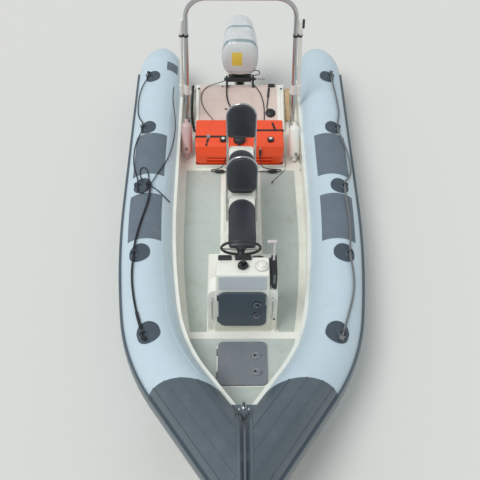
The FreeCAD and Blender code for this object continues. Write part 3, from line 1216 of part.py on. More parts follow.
def make_engine():
    """Outboard engine: clamp bracket, swivel, leg, gearcase, cowling, powerhead and propeller."""
    inner = BRACKET_HALF - BRACKET_PLATE
    front = TRANSOM_Y - TRANSOM_T
    cheeks = []
    for side, name in SIDES:
        x0 = min(side * inner, side * BRACKET_HALF)
        cheek = prism([V(x0, y, z) for y, z in (
            (front + 5.0, TRANSOM_TOP + SEAT_GAP), (TRANSOM_Y + SEAT_GAP, TRANSOM_TOP + SEAT_GAP),
            (TRANSOM_Y + SEAT_GAP, 110.0), (TRANSOM_Y + 20.0, 60.0), (TRANSOM_Y + 46.0, 60.0),
            (TRANSOM_Y + 60.0, 300.0), (TILT_Y + 34.0, TILT_Z - 20.0), (TILT_Y + 24.0, TILT_Z + 26.0),
            (TILT_Y - 22.0, TILT_Z + 26.0), (TRANSOM_Y - 20.0, TRANSOM_TOP + 24.0),
            (front + 5.0, TRANSOM_TOP + 18.0))], V(BRACKET_PLATE, 0, 0))
        cheeks.append(cheek)
    tilt_tube = rod(V(-BRACKET_HALF - 18.0, TILT_Y, TILT_Z), V(BRACKET_HALF + 18.0, TILT_Y, TILT_Z), TILT_R)
    parts["clamp_bracket"] = fused(cheeks + [tilt_tube])

    arm_half = inner - MOVE_GAP
    eye = Part.makeCylinder(TILT_R + 16.0, 2.0 * arm_half, V(-arm_half, TILT_Y, TILT_Z), X_AXIS)
    web = box((-arm_half, arm_half), (TILT_Y, STEER_Y), (TILT_Z - 26.0, TILT_Z + 4.0))
    barrel = Part.makeCylinder(SWIVEL_R, SWIVEL_Z[1] - SWIVEL_Z[0], V(0, STEER_Y, SWIVEL_Z[0]))
    spine = box((-26.0, 26.0), (TILT_Y + 36.0, STEER_Y), (SWIVEL_Z[0] + 20.0, SWIVEL_Z[1]))
    swivel = fused([eye, web, barrel, spine])
    swivel = swivel.cut(Part.makeCylinder(TILT_R + PIN_GAP, 1000.0, V(-500.0, TILT_Y, TILT_Z), X_AXIS))
    swivel = swivel.cut(Part.makeCylinder(STEER_R + PIN_GAP, 1000.0, V(0, STEER_Y, -400.0)))
    parts["swivel_bracket"] = swivel

    shaft = rod(V(0, STEER_Y, SWIVEL_Z[0] - 40.0), V(0, STEER_Y, COWL_FOOT - 30.0), STEER_R)
    low_yoke = box((-32.0, 32.0), (STEER_Y - 22.0, LEG_Y), (SWIVEL_Z[0] - 46.0, SWIVEL_Z[0] - MOVE_GAP))
    high_yoke = box((-36.0, 36.0), (STEER_Y - 24.0, LEG_Y), (COWL_FOOT - 30.0, COWL_FOOT))
    leg = level_loft(((COWL_FOOT, 0, LEG_Y + 6.0, 170.0, 190.0, 60.0), (200.0, 0, LEG_Y + 4.0, 110.0, 175.0, 50.0),
                      (-120.0, 0, LEG_Y + 8.0, 84.0, 170.0, 40.0), (PLATE_Z, 0, LEG_Y + 16.0, 70.0, 190.0, 34.0)))
    parts["engine_leg"] = fused([shaft, low_yoke, high_yoke, leg])

    plate = rounded_plate(V(0, LEG_Y + 60.0, PLATE_Z - 6.0), X_AXIS, Y_AXIS, 190.0, 420.0, 70.0, V(0, 0, -8.0 + 14.0))
    strut = level_loft(((PLATE_Z - 1.0, 0, LEG_Y + 16.0, 64.0, 190.0, 30.0), (PROP_Z + 20.0, 0, LEG_Y + 30.0, 40.0, 160.0, 19.0)))
    nose_y = LEG_Y - 130.0
    torpedo = fused([Part.makeCylinder(46.0, PROP_Y - 62.0 - (nose_y + 60.0), V(0, nose_y + 60.0, PROP_Z), Y_AXIS),
                     Part.makeCone(14.0, 46.0, 60.0, V(0, nose_y, PROP_Z), Y_AXIS)])
    skeg = prism([V(-5.0, LEG_Y - 50.0, PROP_Z), V(-5.0, LEG_Y + 20.0, PROP_Z - 190.0), V(-5.0, LEG_Y + 90.0, PROP_Z - 190.0),
                  V(-5.0, LEG_Y + 110.0, PROP_Z)], V(10.0, 0, 0))
    stub = rod(V(0, PROP_Y - 70.0, PROP_Z), V(0, PROP_Y + 62.0, PROP_Z), 12.0)
    parts["gearcase"] = fused([plate, strut, torpedo, skeg, stub])

    pan = Part.makeLoft([cowl_outline(section, 0.0) for section in PAN], True, True)
    groove = (PAN[-1], COVER[0])
    seam = Part.makeLoft([cowl_outline(section, COWL_SEAM) for section in groove], True, True)
    cover = Part.makeLoft([cowl_outline(section, 0.0) for section in COVER], True, False)
    cowl = fused([pan, seam, cover])
    parts["cowling"] = cowl.cut(powerhead_space(0.0))
    parts["powerhead"] = powerhead_space(SEAT_GAP)

    parts["propeller"] = propeller()


def cowl_outline(section, inset):
    """One level section of the cowling: a bowed front, round corners, bowed sides and a round aft end."""
    z = TILT_Z + section.z
    front = TILT_Y + section.front + inset
    aft = TILT_Y + section.aft - inset
    fore_half = section.half_front - inset
    aft_half = section.half_aft - inset
    r = section.corner
    bend = r * (1.0 - math.sqrt(0.5))
    turn_y = aft - 0.62 * aft_half
    mid_y = (front + r + turn_y) / 2.0
    mid_half = (fore_half + aft_half) / 2.0 + COWL_BULGE
    edges = [Part.Arc(V(-fore_half + r, front, z), V(0, front - COWL_BULGE, z), V(fore_half - r, front, z)).toShape(),
             Part.Arc(V(fore_half - r, front, z), V(fore_half - bend, front + bend, z),
                      V(fore_half, front + r, z)).toShape(),
             Part.Arc(V(fore_half, front + r, z), V(mid_half, mid_y, z), V(aft_half, turn_y, z)).toShape(),
             Part.Arc(V(aft_half, turn_y, z), V(0, aft, z), V(-aft_half, turn_y, z)).toShape(),
             Part.Arc(V(-aft_half, turn_y, z), V(-mid_half, mid_y, z), V(-fore_half, front + r, z)).toShape(),
             Part.Arc(V(-fore_half, front + r, z), V(-fore_half + bend, front + bend, z),
                      V(-fore_half + r, front, z)).toShape()]
    return Part.Wire(edges)


def powerhead_space(shrink):
    """The block that the engine itself fills under its cowling."""
    return box((-ENGINE_HALF + shrink, ENGINE_HALF - shrink),
               (TILT_Y + ENGINE_Y[0] + shrink, TILT_Y + ENGINE_Y[1] - shrink),
               (TILT_Z + ENGINE_Z[0] + shrink, TILT_Z + ENGINE_Z[1] - shrink))


def on_tube(y, angle, radius, side):
    """A point by a tube: along it, round its section and out from its centre line."""
    centre, heading = tube_centre(y)
    point = centre + tube_normal(heading, angle) * radius
    return V(side * point.x, point.y, point.z)


def rope(name, marks, diameter, side):
    """A plain tube for a rope that lies on a tube, with arcs as large as its runs allow."""
    points = [on_tube(mark[0], mark[1], mark[2], side) for mark in marks]
    runs = [(points[i + 1] - points[i]).Length for i in range(len(points) - 1)]
    radii = []
    for i in range(1, len(points) - 1):
        turn = (points[i] - points[i - 1]).getAngle(points[i + 1] - points[i])
        radii.append(0.45 * min(runs[i - 1], runs[i]) / math.tan(turn / 2.0))
    wire = bent_wire(points, radii)
    ring = Part.Wire(Part.makeCircle(diameter / 2.0, points[0], points[1] - points[0]))
    solid = wire.makePipeShell([ring], True, False)
    expected = wire.Length * math.pi * diameter * diameter / 4.0
    print(name, "length", round(wire.Length), "smallest radius", round(min(radii)),
          "volume against section times length", round(solid.Volume / expected, 4))
    return solid


def knot(place, side):
    """A plain knot: three turns of rope side by side, the middle one fuller."""
    lie = TUBE_R + PATCH_T + SEAT_GAP + place.size
    centre = on_tube(place.y, place.angle, lie, side)
    ahead = on_tube(place.y - place.size, place.angle, lie, side) - centre
    out = ahead.cross(X_AXIS).normalize() * place.size

    def at(along, away):
        return centre + ahead * along + out * away
    profile = [Part.LineSegment(at(-1.0, 0.0), at(-1.0, 0.4)).toShape(),
               Part.Arc(at(-1.0, 0.4), at(-0.67, 0.85), at(-0.33, 0.7)).toShape(),
               Part.Arc(at(-0.33, 0.7), at(0.0, 1.0), at(0.33, 0.7)).toShape(),
               Part.Arc(at(0.33, 0.7), at(0.67, 0.85), at(1.0, 0.4)).toShape(),
               Part.LineSegment(at(1.0, 0.4), at(1.0, 0.0)).toShape(),
               Part.LineSegment(at(1.0, 0.0), at(-1.0, 0.0)).toShape()]
    return Part.Face(Part.Wire(profile)).revolve(centre, ahead, 360.0)


def make_ropes():
    """The lifelines through their eyes, the mooring rope and the line to the arch, with their knots."""
    port_knots = Part.makeCompound([knot(place, PORT) for place in PORT_KNOTS])
    starboard_knots = Part.makeCompound([knot(place, STARBOARD) for place in STARBOARD_KNOTS])
    parts["rope_knots_port"] = port_knots
    parts["rope_knots_starboard"] = starboard_knots
    parts["lifeline_port"] = rope("lifeline_port", PORT_LINE, PORT_LINE_D, PORT).cut(port_knots)
    parts["lifeline_starboard"] = rope("lifeline_starboard", STARBOARD_LINE, STARBOARD_LINE_D,
                                       STARBOARD).cut(starboard_knots)
    parts["mooring_rope"] = rope("mooring_rope", MOORING_ROPE, MOORING_ROPE_D, STARBOARD).cut(starboard_knots)
    line = rope("arch_line", ARCH_LINE, ARCH_LINE_D, STARBOARD)
    parts["arch_line"] = line.cut(starboard_knots).cut(parts["pole_clamps"])


def propeller():
    """Three twisted blades on a hub, round the propeller shaft."""
    hub = Part.makeCylinder(PROP_HUB_R, 110.0, V(0, PROP_Y - 55.0, PROP_Z), Y_AXIS)
    pieces = [hub]
    blade_sections = ((PROP_HUB_R - 8.0, 66.0, 58.0, 12.0), (110.0, 118.0, 38.0, 8.0),
                      (150.0, 112.0, 28.0, 6.0), (PROP_R, 52.0, 24.0, 3.0))
    wires = []
    for radius, chord, pitch, thick in blade_sections:
        a = math.radians(pitch)
        along = V(math.cos(a), math.sin(a), 0)
        normal = V(-math.sin(a), math.cos(a), 0)
        centre = V(0, PROP_Y, PROP_Z + radius)
        fore = centre - along * (chord / 2.0)
        aft = centre + along * (chord / 2.0)
        wires.append(Part.Wire([Part.Arc(fore, centre + normal * (thick / 2.0 + 1.0), aft).toShape(),
                                Part.Arc(aft, centre - normal * (thick / 2.0), fore).toShape()]))
    blade = Part.makeLoft(wires, True, True)
    for i in range(PROP_BLADES):
        turned = blade.copy()
        turned.rotate(V(0, PROP_Y, PROP_Z), Y_AXIS, 360.0 * i / PROP_BLADES)
        pieces.append(turned)
    whole = fused(pieces)
    return whole.cut(Part.makeCylinder(12.0 + PIN_GAP, 400.0, V(0, PROP_Y - 200.0, PROP_Z), Y_AXIS))


def nose_run(radius):
    """The forward end of the port tube, at a given radius."""
    return along_tube(lambda o, out, ahead: disc_face(o, ahead, radius), CAP_Y + CAP_LEAD)


def make_bow_nose():
    """The rubber strip over the seam between the tubes, its two ribs, the web aft of it and a short post."""
    slab = box((0, NOSE_W / 2.0), (-REACH, NOSE_AFT_Y), (NOSE_LOW_Z, REACH))
    seat = nose_run(TUBE_R + SEAT_GAP)
    half = nose_run(TUBE_R + NOSE_T).common(slab)
    rib_slab = box((NOSE_RIB_X - NOSE_RIB_W / 2.0, NOSE_RIB_X + NOSE_RIB_W / 2.0), (-REACH, NOSE_AFT_Y),
                   (NOSE_LOW_Z, REACH))
    rib = nose_run(TUBE_R + NOSE_RIB_T).common(rib_slab)
    web = box((0, 2.0 * NOSE_W), (NOSE_AFT_Y - NOSE_WEB_LENGTH, NOSE_AFT_Y), (NOSE_WEB_Z - NOSE_WEB_T, NOSE_WEB_Z))
    half = fused([half, rib, web]).cut(seat)
    whole = fused([half, mirrored(half)]).cut(parts["deck_liner"])
    parts["bow_nose"] = max(whole.Solids, key=lambda solid: solid.Volume)
    foot = V(0, POST_Y, NOSE_WEB_Z)
    parts["bow_post"] = fused([Part.makeCylinder(POST_FOOT_R, POST_FOOT_T, foot),
                               Part.makeCylinder(POST_R, POST_H, foot)])


def main():
    make_tubes()
    make_tube_trim()
    make_hull()
    make_liner()
    make_bow_nose()
    make_deck_panels()
    make_transom()
    make_console()
    make_console_hatch()
    make_helm()
    make_dash_items()
    make_seats()
    make_bow_hatch()
    make_fuel()
    make_arch()
    make_fenders()
    make_engine()
    make_ropes()
    os.makedirs("parts", exist_ok=True)
    for name, shape in parts.items():
        solids = shape.Solids
        print(name, "solids", len(solids), "valid", shape.isValid(), "litres", round(shape.Volume / 1e6, 2))
        shape.exportStep("parts/" + name + ".step")


main()
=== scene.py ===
# %% [markdown]
# # A rigid inflatable boat
#
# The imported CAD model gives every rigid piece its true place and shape. This script dresses it:
# it adds the finishes, the padded pads, the ropes and hoses, and the small trim that makes the boat
# look used. Every length is in metres, x runs to port, y runs aft, z is up and z = 0 is the waterline.

# %% Load the frame
from collections import namedtuple
from math import atan2, cos, pi, radians, sin, tan, tau

import bmesh
import bpy
import numpy as np
from mathutils import Matrix, Vector
from mathutils.bvhtree import BVHTree


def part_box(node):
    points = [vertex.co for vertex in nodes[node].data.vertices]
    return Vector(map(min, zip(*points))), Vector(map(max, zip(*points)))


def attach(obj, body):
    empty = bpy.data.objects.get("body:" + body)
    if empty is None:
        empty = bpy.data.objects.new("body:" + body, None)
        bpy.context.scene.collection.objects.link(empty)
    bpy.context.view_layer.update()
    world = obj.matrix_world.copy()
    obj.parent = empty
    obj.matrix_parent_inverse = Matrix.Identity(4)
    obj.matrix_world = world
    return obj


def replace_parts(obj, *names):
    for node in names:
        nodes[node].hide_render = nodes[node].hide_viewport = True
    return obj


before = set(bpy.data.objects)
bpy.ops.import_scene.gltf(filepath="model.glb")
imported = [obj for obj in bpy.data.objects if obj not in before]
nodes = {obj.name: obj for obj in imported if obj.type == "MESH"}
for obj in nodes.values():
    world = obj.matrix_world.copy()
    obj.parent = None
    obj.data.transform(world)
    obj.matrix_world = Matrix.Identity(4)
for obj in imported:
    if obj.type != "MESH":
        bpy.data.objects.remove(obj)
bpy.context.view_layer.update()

# %% [markdown]
# ## Camera
#
# The photograph was taken from a quay ahead of the bow, looking steeply down along the boat. A camera
# can be placed by hand, or solved from things whose size is known. This one was solved, so the eye,
# the pitch and the small roll are numbers, and the three axes follow from them.

# %% Place the camera
EYE = Vector((-0.0835, -5.15, 6.09))
YAW, PITCH, ROLL = 0.01359, radians(48), 0.00938
FOCAL_PIXELS, IMAGE_PIXELS, SENSOR = 860, 480, 36

ahead = Vector((sin(YAW) * cos(PITCH), cos(YAW) * cos(PITCH), -sin(PITCH)))
level_right = Vector((cos(YAW), -sin(YAW), 0))
level_up = level_right.cross(ahead)
right = cos(ROLL) * level_right + sin(ROLL) * level_up
up = -sin(ROLL) * level_right + cos(ROLL) * level_up

camera = bpy.data.objects.new("camera", bpy.data.cameras.new("camera"))
camera.matrix_world = Matrix.Translation(EYE) @ Matrix((right, up, -ahead)).transposed().to_4x4()
camera.data.sensor_width = SENSOR
camera.data.lens = SENSOR * FOCAL_PIXELS / IMAGE_PIXELS
camera.data.clip_end = 100
bpy.context.scene.collection.objects.link(camera)
bpy.context.scene.camera = camera
print("lens", round(camera.data.lens, 1), "mm")

# %% [markdown]
# ## Helpers for surfaces
#
# Most trim here is a grid of points bent into shape: a hose is a circle carried along a path, a strap
# is a rectangle carried along a path. One helper turns such a grid into a mesh, so each piece
# afterwards is only its formula.

# %% Grid to mesh
TINY = 1e-9


def mesh_piece(name, points, faces, body="boat"):
    """A mesh object from an array of points and a list of faces, riding on a body."""
    mesh = bpy.data.meshes.new(name)
    mesh.from_pydata(points, [], faces)
    mesh.update()
    made = bpy.data.objects.new(name, mesh)
    bpy.context.scene.collection.objects.link(made)
    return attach(made, body)


def skin_faces(rows, columns, closed=False, first=0):
    """The faces of a skin over closed outlines, whose points are numbered row by row.

    The last row joins the first where closed is true, or else a cap closes each end.
    """
    i, j = np.meshgrid(np.arange(rows if closed else rows - 1), np.arange(columns), indexing="ij")
    after, beside = (i + 1) % rows, (j + 1) % columns
    quads = np.stack([i * columns + j, i * columns + beside, after * columns + beside,
                      after * columns + j], axis=-1)
    faces = (quads.reshape(-1, 4) + first).tolist()
    if not closed:
        last = first + (rows - 1) * columns
        faces += [list(range(first, first + columns))[::-1], list(range(last, last + columns))]
    return faces


def unit(vectors):
    """Each row of an array, made one long."""
    return vectors / np.maximum(np.linalg.norm(vectors, axis=-1, keepdims=True), TINY)


def carry(path, section, up=(0, 0, 1), closed=False):
    """A section carried along a path: point = path + side * across + lift * above.

    across is square to the path and to up, above is square to both, so the section doesn't twist.
    With the path coming towards the eye, across points right when above points up.
    The section is (n, 2), or (m, n, 2) where it changes along the path's m points.
    """
    path = np.asarray(path, float)
    if closed:
        heading = unit(np.roll(path, -1, 0) - np.roll(path, 1, 0))
    else:
        heading = unit(np.gradient(path, axis=0))
    across = unit(np.cross(np.broadcast_to(np.asarray(up, float), path.shape), heading))
    above = unit(np.cross(heading, across))
    section = np.broadcast_to(section, (len(path),) + np.shape(section)[-2:])
    return path[:, None] + section[..., :1] * across[:, None] + section[..., 1:] * above[:, None]


def swept_piece(name, path, section, up=(0, 0, 1), closed=False, body="boat"):
    """A solid bar: the section carried along the path, with both ends closed by a cap."""
    grid = carry(path, section, up, closed)
    return mesh_piece(name, grid.reshape(-1, 3), skin_faces(*grid.shape[:2], closed), body)


def around(turn):
    """Cosine and sine of the angles, side by side."""
    return np.stack([np.cos(turn), np.sin(turn)], axis=-1)


def circle(radius, sides=12):
    """A circle's points, against the clock with the path coming towards the eye."""
    return radius * around(np.arange(sides) * tau / sides)


def vertex_array(mesh):
    """All the vertices of a mesh as an array."""
    points = np.empty(len(mesh.vertices) * 3, np.float32)
    mesh.vertices.foreach_get("co", points)
    return points.reshape(-1, 3).astype(float)


def smooth(piece, angle=40):
    """Shades a piece smooth, except over edges sharper than the angle."""
    piece.data.shade_smooth()
    piece.data.set_sharp_from_angle(angle=radians(angle))
    return piece


# %% [markdown]
# ## The line of the tubes
#
# Ropes, tape seams and the pinstripe all follow the two tubes. The tubes' centre line is a straight run,
# two arcs and a straight run to the stem, all in a plane that tips up inboard. With that line as a
# function, a place on a tube is three numbers: how far along, the angle round it, and how far out.

# %% Places by a tube
TUBE_R, TUBE_X, TUBE_Z, TUBE_RISE = 0.235, 0.845, 0.330, 0.300
BEND_Y = 0.430
TUBE_BENDS = ((8.77, 8.5), (1.89, 24.3))    # radius, turn in degrees
PORT, STARBOARD = 1, -1
SIDES = ((PORT, "port"), (STARBOARD, "starboard"))
tilt = atan2(TUBE_RISE, TUBE_X)
plane_up = np.array([sin(tilt), 0, cos(tilt)])
inboard = np.array([-cos(tilt), 0, sin(tilt)])


def tube_line(y):
    """The port tube's centre points and headings at places along y.

    On an arc of radius r that starts with heading h0, sin(heading) grows by (start - y) / r, and the
    line moves aside by r * (cos h0 - cos heading). Past the arcs it moves aside by tan(heading).
    """
    y = np.atleast_1d(np.asarray(y, float))
    heading, aside = np.zeros_like(y), np.zeros_like(y)
    start, h0, moved = BEND_Y, 0.0, 0.0
    for radius, degrees in TUBE_BENDS:
        turned = np.arcsin(np.clip(sin(h0) + (start - y) / radius, -1, 1))
        h1 = h0 + radians(degrees)
        end = start - radius * (sin(h1) - sin(h0))
        on_arc = (y < start) & (y >= end)
        heading = np.where(on_arc, turned, heading)
        aside = np.where(on_arc, moved + radius * (cos(h0) - np.cos(turned)), aside)
        moved += radius * (cos(h0) - cos(h1))
        start, h0 = end, h1
    heading = np.where(y < start, h0, heading)
    aside = np.where(y < start, moved + (start - y) * tan(h0), aside)
    centre = np.stack([TUBE_X - aside * cos(tilt), y, TUBE_Z + aside * sin(tilt)], axis=-1)
    return centre, heading


def by_tube(y, angle, radius, side):
    """Points by a tube: centre + radius * (outward * cos(angle) + plane_up * sin(angle))."""
    centre, heading = tube_line(y)
    out_way = -(inboard * np.cos(heading)[:, None] + np.array([0, 1, 0]) * np.sin(heading)[:, None])
    turn = np.radians(np.broadcast_to(angle, heading.shape))[:, None]
    out = np.broadcast_to(radius, heading.shape)[:, None]
    return (centre + out * (out_way * np.cos(turn) + plane_up * np.sin(turn))) * [side, 1, 1]


LINE_END = -2.4    # y, close to the stem
print("bow end of the tubes' line:", np.round(tube_line(LINE_END)[0], 3).tolist())

# %% [markdown]
# ## Colour and shader helpers
#
# Colours are written as a painter would read them off a picture, 0 to 255, and turned into the linear
# values that a renderer wants. Node trees are built with one short call per node.

# %% Colours and nodes
def paint(red, green, blue):
    """A colour written 0 to 255, as linear red, green, blue and full opacity."""
    value = np.array([red, green, blue]) / 255
    linear = np.where(value <= 0.04045, value / 12.92, ((value + 0.055) / 1.055) ** 2.4)
    return (*linear.tolist(), 1.0)


def add_node(tree, kind, sockets=None, **settings):
    """Adds a shader node. A socket gets a number, a colour, or another node's output."""
    made = tree.nodes.new("ShaderNode" + kind)
    for name, value in settings.items():
        setattr(made, name, value)
    for name, value in (sockets or {}).items():
        if isinstance(value, bpy.types.NodeSocket):
            tree.links.new(value, made.inputs[name])
        else:
            made.inputs[name].default_value = value
    return made


def mixed(tree, share, first, second, blend="MIX"):
    """The colour output of a Mix node."""
    made = add_node(tree, "Mix", {0: share, 6: first, 7: second}, data_type="RGBA", blend_type=blend)
    return made.outputs[2]


def sums(tree, operation, first, second=0.0):
    """The output of a Math node."""
    return add_node(tree, "Math", {0: first, 1: second}, operation=operation).outputs[0]


def product(tree, first, *others):
    """The product of several values."""
    for value in others:
        first = sums(tree, "MULTIPLY", first, value)
    return first


def place_in(tree):
    """Places in the piece's own space, in metres."""
    return add_node(tree, "TexCoord").outputs["Object"]


def noise(tree, scale, detail, roughness=0.5):
    """Cloudy values about one half."""
    return add_node(tree, "TexNoise", {"Vector": place_in(tree), "Scale": scale, "Detail": detail,
                                       "Roughness": roughness}).outputs[0]


def vector_math(tree, operation, first, second=(0, 0, 0)):
    """The outputs of a Vector Math node."""
    return add_node(tree, "VectorMath", {0: first, 1: second}, operation=operation).outputs


def remapped(tree, value, low, high, to_low, to_high):
    """A value stretched from one range to another, smoothly and without leaving it."""
    made = add_node(tree, "MapRange", {"Value": value, "From Min": low, "From Max": high,
                                       "To Min": to_low, "To Max": to_high},
                    interpolation_type="SMOOTHSTEP")
    return made.outputs["Result"]


def new_group(name, inputs, outputs):
    """An empty node group with its sockets, and its input and output nodes."""
    tree = bpy.data.node_groups.new(name, "ShaderNodeTree")
    for label, kind, value in inputs:
        socket = tree.interface.new_socket(label, in_out="INPUT", socket_type="NodeSocket" + kind)
        socket.default_value = value
    for label, kind in outputs:
        tree.interface.new_socket(label, in_out="OUTPUT", socket_type="NodeSocket" + kind)
    return tree, tree.nodes.new("NodeGroupInput").outputs, tree.nodes.new("NodeGroupOutput").inputs


# %% [markdown]
# ## Shared effects
#
# Nothing on a working boat is one flat colour: pigment varies a little from place to place, salt and
# dust settle on what faces up, edges rub pale, and every surface has some grain. Each effect is one
# node group, built once and used by many finishes with its own numbers.

# %% Uneven tone
tree, given, out = new_group("Uneven tone", [("Color", "Color", (1, 1, 1, 1)), ("Spread", "Float", 0.06),
                                             ("Scale", "Float", 2.0)], [("Color", "Color")])
cloud = noise(tree, given["Scale"], 4.0, 0.6)
level = sums(tree, "ADD", product(tree, sums(tree, "SUBTRACT", cloud, 0.5), given["Spread"], 4.0), 1.0)
grey = add_node(tree, "CombineColor", {0: level, 1: level, 2: level}).outputs[0]
tree.links.new(mixed(tree, 1.0, given["Color"], grey, "MULTIPLY"), out["Color"])

# %% Settled dirt
# Dust on most finishes; on the charcoal vinyl the same mask lays on a painted sky reflection.
tree, given, out = new_group("Settled dirt",
                             [("Color", "Color", (1, 1, 1, 1)), ("Dirt", "Color", (.2, .2, .2, 1)),
                              ("Amount", "Float", 0.2), ("Scale", "Float", 9.0)],
                             [("Color", "Color"), ("Mask", "Float")])
facing = add_node(tree, "SeparateXYZ", {0: add_node(tree, "NewGeometry").outputs["Normal"]})
flatness = remapped(tree, facing.outputs["Z"], 0.1, 0.95, 0.35, 1.0)
patchy = remapped(tree, noise(tree, given["Scale"], 6.0, 0.65), 0.46, 0.72, 0.0, 1.0)
mask = product(tree, patchy, flatness, given["Amount"])
tree.links.new(mixed(tree, mask, given["Color"], given["Dirt"]), out["Color"])
tree.links.new(mask, out["Mask"])

# %% Worn edge
tree, given, out = new_group("Worn edge", [("Radius", "Float", 0.004), ("Amount", "Float", 0.6)],
                             [("Mask", "Float")])
rounded = add_node(tree, "Bevel", {"Radius": given["Radius"]}, samples=4).outputs[0]
plain = add_node(tree, "NewGeometry").outputs["Normal"]
same = vector_math(tree, "DOT_PRODUCT", rounded, plain)["Value"]
edge = remapped(tree, same, 0.995, 0.86, 0.0, 1.0)
broken = remapped(tree, noise(tree, 26.0, 3.0), 0.35, 0.6, 0.2, 1.0)
tree.links.new(product(tree, edge, broken, given["Amount"]), out["Mask"])

# %% Grain
tree, given, out = new_group("Grain", [("Scale", "Float", 200.0), ("Coarse", "Float", 0.3)],
                             [("Height", "Float")])
pits = add_node(tree, "TexVoronoi", {"Vector": place_in(tree), "Scale": given["Scale"]})
share = add_node(tree, "Mix", {0: given["Coarse"], 2: noise(tree, given["Scale"], 2.0),
                               3: pits.outputs["Distance"]}).outputs[0]
tree.links.new(share, out["Height"])

# %% Inside a box
tree, given, out = new_group("Inside a box", [("Middle", "Vector", (0, 0, 0)),
                                              ("Half", "Vector", (1, 1, 1))], [("Mask", "Float")])
away = vector_math(tree, "SUBTRACT", place_in(tree), given["Middle"])[0]
away = vector_math(tree, "SUBTRACT", vector_math(tree, "ABSOLUTE", away)[0], given["Half"])[0]
axes = add_node(tree, "SeparateXYZ", {0: away}).outputs
farthest = sums(tree, "MAXIMUM", sums(tree, "MAXIMUM", axes[0], axes[1]), axes[2])
tree.links.new(remapped(tree, farthest, -0.0006, 0.0006, 1.0, 0.0), out["Mask"])

# %% Between two radii
tree, given, out = new_group("Between two radii", [("Middle", "Vector", (0, 0, 0)),
                                                   ("Inner", "Float", 0.1), ("Outer", "Float", 0.2)],
                             [("Mask", "Float")])
gap = vector_math(tree, "DISTANCE", place_in(tree), given["Middle"])["Value"]
beyond = sums(tree, "GREATER_THAN", gap, given["Inner"])
within = sums(tree, "LESS_THAN", gap, given["Outer"])
tree.links.new(product(tree, beyond, within), out["Mask"])

print("node groups:", [group.name for group in bpy.data.node_groups])


# %% [markdown]
# ## One recipe for most finishes
#
# A finish starts from its colour, then takes the shared effects in the order that they happened to
# the real thing: uneven pigment, worn edges, dirt. Roughness rises where dirt lies. Gloss, metal and
# coat are plain numbers on the shader's own sockets, where the export can read them.

# %% The recipe
WEAR_RADIUS, COAT_ROUGHNESS = 0.004, 0.12
FULL_DIRT, DIRT_ROUGHENS = 0.5, 0.25    # a mask this strong makes the surface this much rougher


def finish(name, colour, roughness, spread=0.04, cloud=2.0, dirt=0.15, dust_and_sheen_colour=(96, 92, 84),
           dirt_scale=9.0, wear=0.0, wear_colour=(200, 200, 196), grain=200.0, coarse=0.3, bump=0.15,
           depth=0.0006, metallic=0.0, coat=0.0, sheen=0.0, marks=(), ring=None):
    """A material: the colour through the shared effects, with grain as bump.

    Each mark is a painted patch: where it starts, where it ends, and its colour. A ring is a
    middle, an inner and an outer radius, and a colour.
    """
    material = bpy.data.materials.new(name)
    material.use_nodes = True
    tree = material.node_tree
    tree.nodes.clear()

    def shared(group, sockets):
        return add_node(tree, "Group", sockets, node_tree=bpy.data.node_groups[group]).outputs

    tone = shared("Uneven tone", {"Color": paint(*colour), "Spread": spread, "Scale": cloud})["Color"]
    for low, high, mark_colour in marks:
        low, high = np.array(low), np.array(high)
        inside = shared("Inside a box", {"Middle": (low + high) / 2, "Half": (high - low) / 2})["Mask"]
        tone = mixed(tree, inside, tone, paint(*mark_colour))
    if ring:
        middle, inner, outer, ring_colour = ring
        inside = shared("Between two radii", {"Middle": middle, "Inner": inner, "Outer": outer})["Mask"]
        tone = mixed(tree, inside, tone, paint(*ring_colour))
    if wear:
        edges = shared("Worn edge", {"Radius": WEAR_RADIUS, "Amount": wear})["Mask"]
        tone = mixed(tree, edges, tone, paint(*wear_colour))
    # On the vinyl, this colour on the faces that look up is a painted sky reflection.
    dusty = shared("Settled dirt", {"Color": tone, "Dirt": paint(*dust_and_sheen_colour), "Amount": dirt,
                                    "Scale": dirt_scale})
    rough = remapped(tree, dusty["Mask"], 0.0, FULL_DIRT, roughness, min(1.0, roughness + DIRT_ROUGHENS))
    height = shared("Grain", {"Scale": grain, "Coarse": coarse})["Height"]
    bumped = add_node(tree, "Bump", {"Strength": bump, "Distance": depth, "Height": height})
    shader = add_node(tree, "BsdfPrincipled", {
        "Base Color": dusty["Color"], "Roughness": rough, "Normal": bumped.outputs[0],
        "Metallic": metallic, "Coat Weight": coat, "Coat Roughness": COAT_ROUGHNESS,
        "Sheen Weight": sheen})
    add_node(tree, "OutputMaterial", {"Surface": shader.outputs[0]})
    return material


# %% [markdown]
# ## The finishes
#
# The tubes are a coated fabric with a soft satin sheen, the mouldings are gelcoat with a clear glossy
# skin, the wear patches and rubber are matt and dusty, the metalwork is polished stainless steel.

# %% Painted marks
# The darker socket red is painted shade in the tanks' recessed sockets.
STRIPE_GREY, STICKER_YELLOW, SOCKET_SHADE_RED = (146, 164, 170), (232, 206, 84), (156, 34, 46)
CREAM, RUBBER_GREY, DARK = (241, 242, 233), (82, 95, 104), (34, 34, 38)
COWL_MARKS = (    # two bands round the cover, and a blank sticker on its front
    ((-0.30, 2.444, 0.600), (0.30, 2.476, 1.20), STRIPE_GREY),
    ((-0.30, 2.232, 0.600), (0.30, 2.260, 1.20), STRIPE_GREY),
    ((-0.085, 2.00, 0.670), (0.020, 2.215, 0.825), STICKER_YELLOW),
)
TANK_SHADE_MARKS = (    # painted shade in the recessed sockets at the tanks' lower corners
    ((-0.47, 1.10, 0.186), (-0.408, 1.166, 0.246), SOCKET_SHADE_RED),
    ((0.386, 1.10, 0.186), (0.45, 1.166, 0.246), SOCKET_SHADE_RED),
)
CLAMP_MARKS = (((-0.7, 1.7, 1.27), (0.7, 1.9, 1.33), DARK),)              # the upper clamps
LEVER_MARKS = (((0.15, -0.95, 0.905), (0.32, -0.55, 1.10), (208, 200, 204)),    # grip, and below it
               ((0.242, -0.95, 0.780), (0.259, -0.55, 0.893), (112, 120, 124)))
